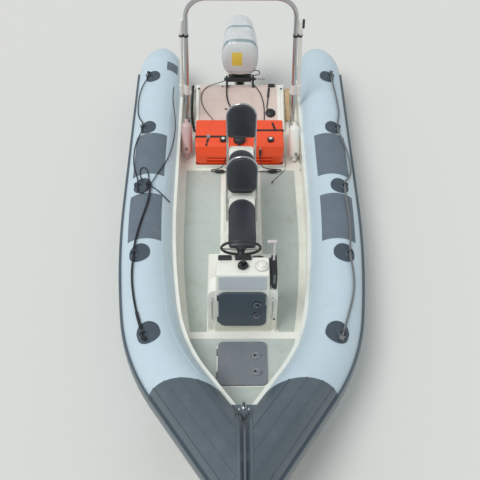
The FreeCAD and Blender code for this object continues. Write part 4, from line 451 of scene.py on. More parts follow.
TIP_MARKS = (((-0.2, -2.05, 0.58), (0.2, -1.892, 0.70), RUBBER_GREY),)    # the deck's tip at the nose
LIT_RIM_MARKS = (((0.392, 1.60, 0.10), (0.60, 2.30, 0.50), CREAM),            # painted light on the well's lit sides
             ((-0.60, 1.60, 0.10), (-0.425, 2.30, 0.50), CREAM))
GROOVE_SHADE_MARKS = (((-0.032, -2.95, 0.30), (-0.008, -1.93, 0.95), (40, 50, 60)),    # painted shade in the grooves beside the web
                ((0.008, -2.95, 0.30), (0.032, -1.93, 0.95), (40, 50, 60)))
SPOKES = ((-0.013, -0.590, 0.930), 0.047, 0.142, (176, 178, 178))

# %% Finishes by slot
GELCOAT = {"spread": 0.02, "grain": 60, "bump": 0.03}
FIBRE = {"cloud": 30, "dirt": 0.3, "dirt_scale": 30, "grain": 900, "bump": 0.5}
SCUFFED = {"spread": 0.08, "wear_colour": (96, 96, 96)}
finishes = {
    "tube_fabric": finish("tube fabric", (198, 217, 227), 0.42, spread=0.02, cloud=1.1, dirt=0.08,
                          dust_and_sheen_colour=(150, 152, 150), grain=420, bump=0.10, coat=0.05),
    "rubber": finish("dark rubber", RUBBER_GREY, 0.34, spread=0.05, cloud=3, dirt=0.22,
                     dust_and_sheen_colour=(120, 124, 126), wear=0.3, wear_colour=(136, 142, 146), coat=0.3),
    "wear_fabric": finish("wear patch fabric", (104, 117, 128), 0.72, spread=0.07, cloud=5, dirt=0.25,
                          dust_and_sheen_colour=(132, 138, 140), grain=520, bump=0.4),
    "gelcoat": finish("gelcoat", CREAM, 0.24, dust_and_sheen_colour=(168, 158, 136), coat=0.35, **GELCOAT),
    "nonslip": finish("non-slip paint", (190, 200, 194), 0.80, spread=0.04, cloud=3, dirt=0.28,
                      dust_and_sheen_colour=(156, 156, 144), grain=330, coarse=0.8, bump=0.5, depth=0.001),
    "hatch_plastic": finish("slate hatch plastic", (66, 80, 91), 0.42, spread=0.05, dirt=0.2,
                            dust_and_sheen_colour=(110, 112, 110), wear=0.25, grain=300, bump=0.2),
    "deck_hatch": finish("warm grey hatch plastic", (118, 125, 132), 0.55, spread=0.06, dirt=0.3,
                         dust_and_sheen_colour=(150, 148, 142), wear=0.2, grain=260, bump=0.3),
    "helm_black": finish("helm black", (40, 41, 44), 0.38, dirt=0.2, dust_and_sheen_colour=(110, 110, 106),
                         wear=0.25, **SCUFFED),
    "black_plastic": finish("black plastic", (36, 37, 40), 0.42, spread=0.08, dirt=0.10,
                            dust_and_sheen_colour=(92, 94, 96), wear=0.15, wear_colour=(90, 90, 90)),
    "white_plastic": finish("white plastic", (236, 236, 228), 0.30, spread=0.02, coat=0.2),
    "fender_pink": finish("weathered fender", (205, 178, 176), 0.40, spread=0.05, dirt=0.25,
                          dust_and_sheen_colour=(150, 120, 112), coat=0.15),
    # The pale bluish colour that the dirt mask lays on the vinyl's upward faces is a painted sky
    # reflection, and the charcoal's slight blue partly is too.
    "vinyl": finish("charcoal vinyl", (44, 47, 55), 0.38, spread=0.06, cloud=6, dirt=0.12,
                    dust_and_sheen_colour=(86, 92, 104), grain=340, coarse=0.7, bump=0.35, sheen=0.15),
    "steel": finish("polished stainless", (196, 198, 198), 0.20, spread=0.04, dirt=0.10,
                    dust_and_sheen_colour=(150, 142, 128), metallic=1.0, bump=0.03),
    "tank_red": finish("tank red", (250, 84, 38), 0.28, spread=0.04, dirt=0.10,
                       dust_and_sheen_colour=(170, 70, 44), wear=0.3, wear_colour=(236, 116, 84), coat=0.2,
                       marks=TANK_SHADE_MARKS),
    "webbing": finish("black webbing", (44, 44, 46), 0.85, spread=0.1, dirt=0.3, grain=600, bump=0.6),
    "black_metal": finish("black painted metal", (48, 49, 52), 0.36, spread=0.06, dirt=0.22,
                          dust_and_sheen_colour=(116, 112, 104), wear=0.4, wear_colour=(140, 140, 138)),
    "engine_grey": finish("engine grey", (186, 188, 190), 0.30, spread=0.03, dirt=0.2, wear=0.25,
                          coat=0.25),
    "pale_rope": finish("pale rope", (126, 129, 130), 0.85, spread=0.12,
                        dust_and_sheen_colour=(110, 108, 100), **FIBRE),
    "black_rope": finish("black rope", (46, 47, 52), 0.85, spread=0.15,
                         dust_and_sheen_colour=(104, 104, 104), **FIBRE),
    "black_hose": finish("black hose", (38, 38, 41), 0.42, spread=0.08, dirt=0.25,
                         dust_and_sheen_colour=(104, 102, 98)),
    "wood": finish("weathered plywood", (196, 168, 130), 0.6, spread=0.12, cloud=14, dirt=0.3,
                   dust_and_sheen_colour=(140, 112, 84), grain=120, bump=0.3),
    "cowl_grey": finish("cowling paint", (214, 218, 218), 0.24, spread=0.02, coat=0.45,
                        marks=COWL_MARKS),
}
print("finishes:", len(finishes))

# %% [markdown]
# ## Dressing the CAD nodes
#
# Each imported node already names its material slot, so the new finishes go on by that name. Eight nodes
# have a finish of their own, most of them because a second colour is painted on the same moulding.

# %% Dress a piece
NODE_ANGLE = 32


def dress(piece, finish_name, angle=40):
    """Gives a piece its slot, its finish and, where an angle is given, its shading."""
    piece.data.materials.clear()
    piece.data.materials.append(finishes[finish_name])
    return smooth(piece, angle) if angle else piece


# %% Finishes by the slot's name
for node in nodes.values():
    for index, slot_name in enumerate([m.name.split(".")[0] for m in node.data.materials]):
        node.data.materials[index] = finishes[slot_name]
    smooth(node, NODE_ANGLE)

# %% Nodes with a finish of their own
patch_finish = finish("line patch rubber", (68, 80, 90), 0.50, spread=0.06, dirt=0.20,
                      dust_and_sheen_colour=(110, 116, 120), wear=0.3, wear_colour=(128, 132, 134), bump=0.25)
own_finishes = {
    "bow_nose": finish("nose rubber", (88, 101, 110), 0.34, spread=0.05, cloud=3, dirt=0.2,
                       dust_and_sheen_colour=(120, 124, 126), bump=0.15, coat=0.3, marks=GROOVE_SHADE_MARKS),
    "line_patches_port": patch_finish,
    "line_patches_starboard": patch_finish,
    "deck_liner": finish("deck gelcoat", CREAM, 0.26, dirt=0.20, dust_and_sheen_colour=(176, 170, 150),
                         dirt_scale=6, coat=0.3, marks=TIP_MARKS, **GELCOAT),
    "pole_clamps": finish("clamp plastic", (236, 236, 228), 0.30, spread=0.02, coat=0.2,
                          marks=CLAMP_MARKS),
    "throttle_control": finish("throttle plastic", (36, 37, 39), 0.30, spread=0.05, wear=0.2,
                               wear_colour=(96, 96, 96), coat=0.1, marks=LEVER_MARKS),
    "steering_wheel": finish("wheel rim", (40, 41, 44), 0.34, spread=0.08, ring=SPOKES),
    # The transom's pinkish cream is partly the moulding's own tint and partly painted shade with a
    # painted reflection of the red tanks.
    "transom": finish("transom gelcoat", (224, 207, 198), 0.30, dirt=0.25,
                      dust_and_sheen_colour=(176, 150, 132), dirt_scale=5, coat=0.3, marks=LIT_RIM_MARKS,
                      **(GELCOAT | {"spread": 0.03})),
}
for name, material in own_finishes.items():
    nodes[name].data.materials.clear()
    nodes[name].data.materials.append(material)
print("nodes dressed:", len(nodes), "of them with a finish of their own:", len(own_finishes))

# %% [markdown]
# ## Ropes
#
# A lifeline is one length of rope, passed through an eye on each patch and knotted at its ends. It
# could be a plain curve with a round bevel, but a laid rope shows its strands even from far off. So a
# smooth curve gives the route, and each strand is a tube that winds round it.

# %% Routes and strands
ROUTE_STEPS, ROUTE_ORDER = 12, 3
POINTS_PER_LAY = 9
STRAND_PRESS = 1.04    # strands are thicker than their share, so they press into each other
KNOT_POINTS, KNOT_LIFT, KNOT_REACH = 72, 1.25, 3.0
STRAND_ANGLE = 60      # edges sharper than this many degrees stay sharp


def route_points(marks, side=None):
    """Points along the smooth curve of a rope's or hose's route, ends included.

    Marks are (along, degrees, out) by a tube, or plain x, y, z where no side is given.
    """
    marks = np.array(marks, float)
    control = marks if side is None else by_tube(marks[:, 0], marks[:, 1], marks[:, 2], side)
    curve = bpy.data.curves.new("route", "CURVE")
    curve.dimensions = "3D"
    curve.resolution_u = ROUTE_STEPS
    spline = curve.splines.new("NURBS")
    spline.points.add(len(control) - 1)
    spline.points.foreach_set("co", np.column_stack([control, np.ones(len(control))]).ravel())
    spline.order_u = ROUTE_ORDER
    spline.use_endpoint_u = True
    holder = bpy.data.objects.new("route", curve)
    mesh = bpy.data.meshes.new_from_object(holder)
    points = vertex_array(mesh)
    bpy.data.objects.remove(holder)
    bpy.data.curves.remove(curve)
    bpy.data.meshes.remove(mesh)
    return points


def path_length(path):
    """The length of a run of points."""
    return float(np.linalg.norm(np.diff(path, axis=0), axis=1).sum())


def evenly(path, step):
    """The same path with its points an even step apart."""
    along = np.concatenate([[0], np.cumsum(np.linalg.norm(np.diff(path, axis=0), axis=1))])
    places = np.linspace(0, along[-1], max(3, int(along[-1] / step) + 1))
    return np.stack([np.interp(places, along, path[:, k]) for k in range(3)], axis=-1)


def laid_rope(name, path, diameter, count, lay, sides=7, up=(0, 0, 1), body="boat"):
    """A rope of several strands that wind round a path.

    A strand's centre is path + offset * (across * cos t + above * sin t), where t grows by a whole turn
    in each length of lay. Strands that touch have the radius R * s / (1 + s), s = sin(pi / count).
    """
    share = sin(pi / count)
    strand_r = diameter / 2 * share / (1 + share)
    offset = diameter / 2 - strand_r
    path = evenly(path, lay / POINTS_PER_LAY)
    travel = np.arange(len(path)) * path_length(path) / (len(path) - 1)
    points, faces = [], []
    for strand in range(count):
        middle = offset * around(tau * (travel / lay + strand / count))
        grid = carry(path, middle[:, None] + circle(strand_r * STRAND_PRESS, sides), up)
        faces += skin_faces(len(path), sides, first=strand * len(path) * sides)
        points.append(grid.reshape(-1, 3))
    return mesh_piece(name, np.concatenate(points), faces, body)


def knot_piece(name, middle, size, thick, up=(0, -1, 0)):
    """An overhand knot that reaches size from its middle.

    x = sin t + 2 sin 2t, y = KNOT_LIFT * sin 3t, z = cos t - 2 cos 2t, which reaches KNOT_REACH.
    """
    t = np.linspace(0, tau, KNOT_POINTS, endpoint=False)
    loop = np.stack([np.sin(t) + 2 * np.sin(2 * t), KNOT_LIFT * np.sin(3 * t),
                     np.cos(t) - 2 * np.cos(2 * t)], -1)
    path = middle + loop * (size - thick / 2) / KNOT_REACH
    return swept_piece(name, path, circle(thick / 2, 10), up, closed=True)


# %% Marks along the ropes
# Each mark is how far aft, the angle round the tube in degrees, and how far out from the tube's line.
PORT_LINE = (
    (2.168, 85, .261), (2.072, 85, .261), (1.935, 80, .253), (1.760, 75.5, .250), (1.560, 73, .250),
    (1.386, 84.5, .261), (1.258, 85, .261), (1.160, 74, .252), (1.030, 62, .250), (.880, 56, .250),
    (.735, 59, .250), (.630, 71, .252), (.556, 84, .261), (.450, 86, .261), (.330, 85, .253),
    (.190, 82, .250), (.030, 80, .250), (-.120, 81, .252), (-.262, 85, .261), (-.385, 84, .261),
    (-.500, 77, .252), (-.640, 72.5, .250), (-.790, 75, .250), (-.930, 80, .250),
    (-1.040, 83.5, .254), (-1.140, 85, .261), (-1.234, 85, .261),
)
STARBOARD_LINE = (
    (2.168, 85, .261), (2.096, 84, .261), (2.040, 71, .252), (1.955, 60.5, .248), (1.840, 56, .247),
    (1.710, 57, .247), (1.585, 61.5, .247), (1.478, 71, .249), (1.384, 83.5, .261), (1.262, 84, .261),
    (1.190, 71, .250), (1.095, 63.5, .247), (.980, 62, .247), (.855, 65.5, .247), (.735, 72, .248),
    (.636, 80.5, .254), (.552, 86, .261), (.466, 87, .261), (.412, 87.5, .259), (.387, 93, .256),
    (.387, 101, .255), (.412, 106.5, .256), (.456, 107, .259),
)
MOORING_ROPE = (
    (.458, 113, .259), (.340, 112.5, .252), (.195, 107, .250), (.050, 99, .250), (-.095, 91.5, .252),
    (-.258, 86, .261), (-.382, 84.5, .261), (-.495, 79.5, .253), (-.640, 78, .250), (-.790, 79.5, .250),
    (-.930, 82, .250), (-1.040, 84, .254), (-1.140, 85, .261), (-1.234, 85, .261),
)
ARCH_LINE = (
    (.500, 114, .257), (.600, 121, .248), (.720, 132, .247), (.850, 143.5, .247), (.990, 152.5, .247),
    (1.130, 158, .247), (1.270, 161.5, .247), (1.395, 161, .256), (1.510, 153, .280), (1.610, 143, .318),
    (1.690, 137, .364), (1.762, 135, .416),
)

# %% Knots
PATCH_LIE = TUBE_R + 0.0053      # where a knot rests, out from the tube's line
ROPE_FINISH = {PORT: "pale_rope", STARBOARD: "black_rope"}
KNOTS = (    # side, then for each knot: along, degrees, size, thickness of its rope
    ("rope_knots_port", PORT, ((2.186, 85, 0.025, 0.017), (-1.254, 85, 0.025, 0.017))),
    ("rope_knots_starboard", STARBOARD, ((2.182, 85, 0.020, 0.011), (0.478, 110, 0.031, 0.018),
                                         (-1.254, 85, 0.025, 0.017))),
)
knots_on = {}
for node_name, side, knots in KNOTS:
    knots_on[side] = []
    for index, (along, degrees, size, thick) in enumerate(knots):
        middle = by_tube(along, degrees, PATCH_LIE + size, side)[0]
        made = knot_piece(f"{node_name}_{index + 1}", middle, size, thick)
        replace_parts(made, node_name)
        knots_on[side].append(dress(made, ROPE_FINISH[side], STRAND_ANGLE))
print("knots:", {node_name: len(knots) for node_name, _, knots in KNOTS})

# %% The ropes
SLEEVE_FROM, SLEEVE_TO, SLEEVE_R, SLEEVE_STEP = -1.145, -0.972, 0.0128, 0.004    # on the mooring rope
ROPE_STRANDS = 3
Rope = namedtuple("Rope", "node marks side diameter lay end with_pieces")
whipping = evenly(route_points(MOORING_ROPE, STARBOARD), SLEEVE_STEP)
whipping = whipping[(whipping[:, 1] > SLEEVE_FROM) & (whipping[:, 1] < SLEEVE_TO)]
whipping = dress(swept_piece("mooring_rope_sleeve", whipping, circle(SLEEVE_R, 14)), "black_rope", 50)
ROPES = (
    Rope("lifeline_port", PORT_LINE, PORT, 0.020, 0.068, "knot", knots_on[PORT]),
    Rope("lifeline_starboard", STARBOARD_LINE, STARBOARD, 0.012, 0.040, "knot",
         knots_on[STARBOARD][:2]),
    Rope("mooring_rope", MOORING_ROPE, STARBOARD, 0.020, 0.072, "knot",
         knots_on[STARBOARD][2:] + [whipping]),
    Rope("arch_line", ARCH_LINE, STARBOARD, 0.010, 0.045, "object", ()),
)
for rope in ROPES:
    path = route_points(rope.marks, rope.side)
    made = laid_rope(rope.node + "_strands", path, rope.diameter, ROPE_STRANDS, rope.lay)
    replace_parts(made, rope.node)
    dress(made, ROPE_FINISH[rope.side], STRAND_ANGLE)
    print(rope.node, "length", round(path_length(path), 3), "m")

# %% [markdown]
# ## Seat and back pads
#
# A pad here is foam on a board, covered in vinyl: a top panel and a side band, sewn together round the
# edge with piping between. A swept block would look hard. So each pad starts as a block a little
# smaller than its place, its seam and its underside are held, and a short cloth simulation lets the
# panels swell between them.

# %% The pad's block
def round_outline(half, low, high, radius_low, radius_high, corner=12):
    """A closed outline with |u| <= half and low <= v <= high, its corners arcs of a circle."""
    corners = ((half, low, radius_low, -90), (half, high, radius_high, 0),
               (-half, high, radius_high, 90), (-half, low, radius_low, 180))
    points = []
    for u, v, radius, start in corners:
        turn = np.radians(np.linspace(start, start + 90, corner))
        middle = (u - np.sign(u) * radius, v + (radius if v == low else -radius))
        points.append(np.stack([np.cos(turn), np.sin(turn)], -1) * radius + middle)
    return np.concatenate(points)


Pad = namedtuple("Pad", "node upright half low high radius_low radius_high thick")
# Each level is a height and an inset. A height below zero is measured down from the top, as the last is.
PAD_LEVELS = ((0, 0.008), (0.008, 0.001), (-0.024, 0.0), (-0.008, 0.007), (0, 0.030))
SEAM_LEVEL = 3
PAD_MARGIN = 0.0005                               # kept clear inside the node's box
FAR_END_LESS, BACK_GAP, LEAST_CORNER = 0.002, 0.001, 0.012    # the first is off the far end's radius
LOW_CORNER, SWELL_ROOM = {False: 0.050, True: 0.016}, {False: 0.014, True: 0.009}    # by upright


def pad_level(pad, index):
    """One level's outline in (u, v, w)."""
    height, inset = PAD_LEVELS[index]
    if height < 0 or index == len(PAD_LEVELS) - 1:
        height += pad.thick
    flat = round_outline(pad.half - inset, pad.low + inset, pad.high - inset,
                         max(pad.radius_low - inset, LEAST_CORNER),
                         max(pad.radius_high - inset, LEAST_CORNER))
    return np.column_stack([flat, np.full(len(flat), height)])


def pad_place(pad, points):
    """From the pad's own u, v, w to x, y, z. A seat lies, a back stands with its face to the bow."""
    low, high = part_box(pad.node)
    if pad.upright:
        return np.stack([points[:, 0], high[1] - BACK_GAP - points[:, 2], points[:, 1]], -1)
    return np.stack([points[:, 0], points[:, 1], low[2] + PAD_MARGIN + points[:, 2]], -1)


def make_pad(name):
    """The pad's measures, from the box of its node."""
    low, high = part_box(name)
    upright = name.startswith("back")
    lengthwise, deep = (2, 1) if upright else (1, 2)
    half = (high[0] - low[0]) / 2 - PAD_MARGIN
    return Pad(name, upright, half, low[lengthwise] + PAD_MARGIN, high[lengthwise] - PAD_MARGIN,
               LOW_CORNER[upright], half - FAR_END_LESS, high[deep] - low[deep] - SWELL_ROOM[upright])


# %% Swell the pads
PAD_VOXEL, PAD_CAP, PAD_FRAMES = 0.006, 0.016, 20
SEAM_HOLD, UNDER_HOLD = 0.0045, 0.006
NOSE_LENGTH, NOSE_DROP, CROWN = 0.13, 0.38, 0.20
CLOTH = {"vertex_group_mass": "held", "use_pressure": True, "uniform_pressure_force": 4.0,
         "tension_stiffness": 12, "compression_stiffness": 12, "bending_stiffness": 0.4}
SMOOTH_SHARE, SMOOTH_TURNS = 0.5, 4
PIPING_R, PIPING_LIFT, PIPING_STEP = 0.0032, 0.0008, 0.008


def evaluated_copy(piece):
    """The piece's mesh with its modifiers worked in."""
    bpy.context.view_layer.update()
    return bpy.data.meshes.new_from_object(piece.evaluated_get(bpy.context.evaluated_depsgraph_get()))


def nose_down(pad, points):
    """Rounds a seat's nose down and its top across, before the panels swell."""
    if pad.upright:
        return points
    floor_z = points[:, 2].min()
    near_nose = np.clip((pad.low + NOSE_LENGTH - points[:, 1]) / NOSE_LENGTH, 0, 1)
    across = np.clip(np.abs(points[:, 0]) / pad.half, 0, 1)
    share = (1 - NOSE_DROP * near_nose ** 2) * (1 - CROWN * across ** 2)
    points[:, 2] = floor_z + (points[:, 2] - floor_z) * share
    return points


def swell(piece, pad, seam):
    """Remeshes a block, holds its seam and underside, and lets the cloth between them swell."""
    remesh = piece.modifiers.new("remesh", "REMESH")
    remesh.mode, remesh.voxel_size = "VOXEL", PAD_VOXEL
    fine = evaluated_copy(piece)
    piece.modifiers.clear()
    piece.data = fine
    start = nose_down(pad, vertex_array(fine))
    fine.vertices.foreach_set("co", start.ravel())
    seam_gap = np.linalg.norm(start[:, None] - seam[None, ::2], axis=2).min(axis=1)
    if pad.upright:
        under = start[:, 1] > start[:, 1].max() - UNDER_HOLD
    else:
        under = start[:, 2] < start[:, 2].min() + UNDER_HOLD
    held = np.flatnonzero((seam_gap < SEAM_HOLD) | under)
    piece.vertex_groups.new(name="held").add(held.tolist(), 1.0, "REPLACE")
    cloth = piece.modifiers.new("cloth", "CLOTH")
    for setting, value in CLOTH.items():
        setattr(cloth.settings, setting, value)
    cloth.settings.effector_weights.gravity = 0
    cloth.point_cache.frame_end = PAD_FRAMES
    for frame_number in range(1, PAD_FRAMES + 1):
        bpy.context.scene.frame_set(frame_number)
    swollen = vertex_array(evaluated_copy(piece))
    piece.modifiers.clear()
    bpy.context.scene.frame_set(1)
    moved = swollen - start
    far = np.linalg.norm(moved, axis=1, keepdims=True)
    fine.vertices.foreach_set("co", (start + moved * np.minimum(1, PAD_CAP / (far + TINY))).ravel())
    print(piece.name, "points", len(start), "moved up to", round(float(far.max()), 4))
    fine.update()
    smoother = piece.modifiers.new("smooth", "SMOOTH")
    smoother.factor, smoother.iterations = SMOOTH_SHARE, SMOOTH_TURNS
    piece.modifiers.new("subdivision", "SUBSURF").levels = 1
    piece.data = evaluated_copy(piece)
    piece.modifiers.clear()
    piece.vertex_groups.clear()
    piece.data.shade_smooth()


def snapped(piece, path, lift):
    """A path moved onto a piece's surface, and lifted a little off it."""
    tree = BVHTree.FromPolygons([v.co for v in piece.data.vertices],
                                [p.vertices for p in piece.data.polygons])
    found = [tree.find_nearest(Vector(point)) for point in path]
    return np.array([place + normal * lift for place, normal, _, _ in found])


def pad_pieces(name):
    """A pad with the piping along its seam."""
    pad = make_pad(name)
    levels = [pad_level(pad, index) for index in range(len(PAD_LEVELS))]
    count = len(levels[0])
    cover = mesh_piece(name + "_cover", pad_place(pad, np.concatenate(levels)),
                       skin_faces(len(levels), count))
    seam = nose_down(pad, np.concatenate([pad_place(pad, levels[SEAM_LEVEL]),
                                          pad_place(pad, levels[0])]))[:count]
    swell(cover, pad, seam)
    line = evenly(np.concatenate([seam, seam[:1]]), PIPING_STEP)[:-1]
    piping = swept_piece(name + "_piping", snapped(cover, line, PIPING_LIFT), circle(PIPING_R, 8),
                         (0, -1, 0) if pad.upright else (0, 0, 1), closed=True)
    for made, angle in ((cover, None), (piping, STRAND_ANGLE)):
        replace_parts(dress(made, "vinyl", angle), name)
    return cover


for pad_name in ("seat_pad_front", "seat_pad_rear", "back_pad_front", "back_pad_rear"):
    made = pad_pieces(pad_name)
    corners = vertex_array(made.data)

# %% [markdown]
# ## Small trim
#
# Latches, plugs, caps and brackets are turned or moulded parts. A turned part is a profile carried
# round an axis, a moulded block is an outline with rounded corners, stacked from its base to its top.

# %% Turned and moulded parts
OUTLINE_CORNER, LEAST_ROUND = 5, 0.0008    # points on a block's corner, and its least radius
BUTTON = ((0, 1.0), (0.55, 1.0), (0.85, 0.9), (1.0, 0.7))    # share of the height, of the radius
BUTTON_SEAT = 0.001
RING_ANGLE = 60


def stacked(name, rings, body="boat"):
    """A solid through a stack of closed outlines, with a face at each end, turned outward."""
    rings = np.asarray(rings)
    made = mesh_piece(name, rings.reshape(-1, 3), skin_faces(*rings.shape[:2]), body)
    shape = bmesh.new()
    shape.from_mesh(made.data)
    bmesh.ops.recalc_face_normals(shape, faces=shape.faces)
    shape.to_mesh(made.data)
    shape.free()
    return made


def turned(name, start, end, profile, slot_name, body="boat", sides=20):
    """A turned part. The profile's pairs are the share of the way along the axis, and the radius."""
    start, end = np.array(start, float), np.array(end, float)
    axis = unit(end - start)
    side = unit(np.cross(axis, (0, 0, 1) if abs(axis[2]) < 0.9 else (1, 0, 0)))
    other = np.cross(axis, side)
    turn = circle(1, sides)
    rings = [start + (end - start) * share + radius * (turn[:, :1] * side + turn[:, 1:] * other)
             for share, radius in profile]
    return dress(stacked(name, rings, body), slot_name)


def slab(name, middle, half, corner, slot_name, body="boat", edge=0.002, tip=0.0):
    """A moulded block, tipped up aft by an angle in radians. Its outline is in x and y."""
    rings = []
    for height, inset in ((-half[2], edge), (edge - half[2], 0), (half[2] - edge, 0), (half[2], edge)):
        flat = round_outline(half[0] - inset, inset - half[1], half[1] - inset,
                             max(corner - inset, LEAST_ROUND), max(corner - inset, LEAST_ROUND),
                             OUTLINE_CORNER)
        rings.append(np.column_stack([flat, np.full(len(flat), height)]))
    tipped = np.array([(1, 0, 0), (0, cos(tip), sin(tip)), (0, -sin(tip), cos(tip))])
    return dress(stacked(name, np.array(rings) @ tipped + np.array(middle), body), slot_name)


def ring_piece(name, middle, radius, thick, slot_name, normal=(0, 0, 1), body="boat"):
    """A round ring lying square to its normal."""
    normal = unit(np.array(normal, float))
    side = unit(np.cross(normal, (0, 1, 0.01)))
    other = np.cross(normal, side)
    turn = circle(radius, 40)
    path = np.array(middle) + turn[:, :1] * side + turn[:, 1:] * other
    made = swept_piece(name, path, circle(thick / 2, 10), up=normal, closed=True, body=body)
    return dress(made, slot_name, RING_ANGLE)


def button(name, place, normal, radius, height, slot_name, body="boat"):
    """A low round cap on a surface."""
    place, normal = np.array(place, float), unit(np.array(normal, float))
    profile = [(share, radius * wide) for share, wide in BUTTON]
    return turned(name, place - normal * BUTTON_SEAT, place + normal * height, profile, slot_name, body)


# %% Trim at the helm
FORWARD, UP = (0, -1, 0), (0, 0, 1)
PANEL_Y, PANEL_HALF, PANEL_LOW, PANEL_MIDDLE, PANEL_HIGH = -0.885, 0.190, 0.762, 0.845, 0.928
PANEL_CORNER, PANEL_RINGS = 0.022, ((-0.001, 0), (0.0025, 0), (0.004, 0.0075))    # out by, shrunk by
HATCH_Y, HATCH_TOP = -0.9053, 0.306       # the faces of the console's hatch and of the bow hatch
LATCH_X = 0.118
flat = round_outline(PANEL_HALF, PANEL_LOW, PANEL_HIGH, PANEL_CORNER, PANEL_CORNER, 6)
panel = dress(stacked("console_panel", [
    np.column_stack([flat[:, 0] * (1 - shrunk), np.full(len(flat), PANEL_Y - out_by),
                     PANEL_MIDDLE + (flat[:, 1] - PANEL_MIDDLE) * (1 - 2 * shrunk)])
    for out_by, shrunk in PANEL_RINGS]), "gelcoat")
panel.data.materials[0] = finish("panel grey", (198, 206, 210), 0.30, spread=0.02, coat=0.3)
compass_low, compass_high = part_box("compass")
BUTTONS = [    # name, place, normal, radius, height, finish, body
    ("console_plug", (0.263, -0.870, 0.357), FORWARD, 0.010, 0.004, "black_plastic", "boat")]
RINGS = [      # name, middle, radius, thickness, finish, normal, body
    ("compass_ring_outer", (0.150, -0.800, compass_low[2] + 0.006), 0.0525, 0.007, "engine_grey", UP,
     "boat"),
    ("compass_ring_inner", (0.150, -0.800, compass_high[2] - 0.012), 0.034, 0.005, "engine_grey", UP,
     "boat")]
for number, z in ((1, 0.604), (2, 0.462)):
    BUTTONS += [(f"console_latch_{number}", (LATCH_X, HATCH_Y, z), FORWARD, 0.034, 0.007,
                 "black_plastic", "console_hatch"),
                (f"console_latch_knob_{number}", (LATCH_X, HATCH_Y - 0.006, z), FORWARD, 0.013, 0.010,
                 "black_plastic", "console_hatch")]
    RINGS.append((f"console_latch_ring_{number}", (LATCH_X, HATCH_Y - 0.009, z - 0.003), 0.024, 0.0035,
                  "engine_grey", (0, -1, 0.12), "console_hatch"))
for number, y in ((1, -1.200), (2, -1.352)):
    BUTTONS += [(f"bow_latch_{number}", (0.107, y, HATCH_TOP), UP, 0.031, 0.004, "deck_hatch",
                 "bow_hatch"),
                (f"bow_latch_knob_{number}", (0.096, y, HATCH_TOP + 0.003), UP, 0.011, 0.006,
                 "helm_black", "bow_hatch")]
    RINGS.append((f"bow_latch_ring_{number}", (0.107, y, HATCH_TOP + 0.006), 0.025, 0.005,
                  "engine_grey", (0.1, 0, 1), "bow_hatch"))
for row in BUTTONS:
    button(*row)
for row in RINGS:
    ring_piece(*row)
turned("console_hatch_catch", (0.187, HATCH_Y - 0.004, 0.600), (0.187, HATCH_Y - 0.004, 0.700),
       ((0, 0.003), (0.05, 0.006), (0.95, 0.006), (1, 0.003)), "steel", "console_hatch", 12)
slab("throttle_cable_block", (0.256, -0.800, 0.742), (0.018, 0.045, 0.022), 0.008, "black_plastic")
print("helm trim: panel, catch, cable block,", len(BUTTONS), "buttons,", len(RINGS), "rings")

# %% Trim on the tanks
CAP_Y, STRAP_TOP = 1.243, 0.4595
for label, x in (("starboard", -0.171), ("port", 0.296)):
    cap_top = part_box("tank_cap_" + label)[1][2]
    button(f"tank_cap_centre_{label}", (x, CAP_Y, cap_top), UP, 0.017, 0.005, "white_plastic")
    slab(f"tank_cap_bar_{label}", (x, CAP_Y, cap_top + 0.007), (0.016, 0.0045, 0.004), 0.004,
         "white_plastic", edge=0.001)
slab("strap_buckle", (-0.318, 1.300, STRAP_TOP), (0.017, 0.020, 0.005), 0.004, "steel")
ring_piece("strap_buckle_ring", (-0.318, 1.276, STRAP_TOP + 0.002), 0.012, 0.005, "steel")
TAIL_THICK, TAIL_STEP = 0.0012, 0.006    # half the webbing's thickness, and the points' spacing
TAILS = (    # label, half the width, marks
    ("starboard", 0.010, ((-0.318, 1.296, STRAP_TOP + 0.004), (-0.320, 1.268, 0.4575),
                          (-0.325, 1.236, 0.4570), (-0.333, 1.207, 0.4535), (-0.338, 1.183, 0.437))),
    ("port", 0.011, ((0.345, 1.388, STRAP_TOP + 0.001), (0.340, 1.425, 0.458), (0.330, 1.465, 0.457),
                     (0.322, 1.510, 0.456))),
)
for label, half, marks in TAILS:
    section = np.array([(-1, -1), (1, -1), (1, 1), (-1, 1)]) * (half, TAIL_THICK)
    dress(swept_piece("strap_tail_" + label, evenly(route_points(marks), TAIL_STEP), section), "webbing")
turned("horn_drum", (-0.012, 1.232, 0.458), (-0.012, 1.232, 0.520),
       ((0, 0.050), (0.05, 0.058), (0.7, 0.061), (0.86, 0.061), (0.95, 0.056), (1, 0.046)),
       "black_plastic", sides=32)
turned("fuel_connector", (0.191, 1.150, 0.424), (0.192, 1.126, 0.336),
       ((0, 0.004), (0.06, 0.010), (0.30, 0.010), (0.34, 0.0135), (0.52, 0.0135), (0.58, 0.009),
        (0.9, 0.008), (1, 0.005)), "black_plastic", sides=16)
button("fuel_connector_head", (0.191, 1.149, 0.428), (0, -0.3, 1), 0.009, 0.006, "steel")

# %% Trim at the stern
SLOPE_RISE, SLOPE_RUN = 0.14, 0.425    # of the sloping moulding ahead of the transom
SLOPE_FOOT_Y, SLOPE_FOOT_Z = 1.690, 0.215
PLY_TIP = atan2(0.185, 0.315)
slope_angle = atan2(SLOPE_RISE, SLOPE_RUN)
slope_up = (0, -sin(slope_angle), cos(slope_angle))


def on_slope(x, y, above=0.0):
    """A place on the sloping moulding, or above it."""
    z = SLOPE_FOOT_Z + (y - SLOPE_FOOT_Y) * SLOPE_RISE / SLOPE_RUN
    return np.array((x, y, z)) + np.array(slope_up) * above


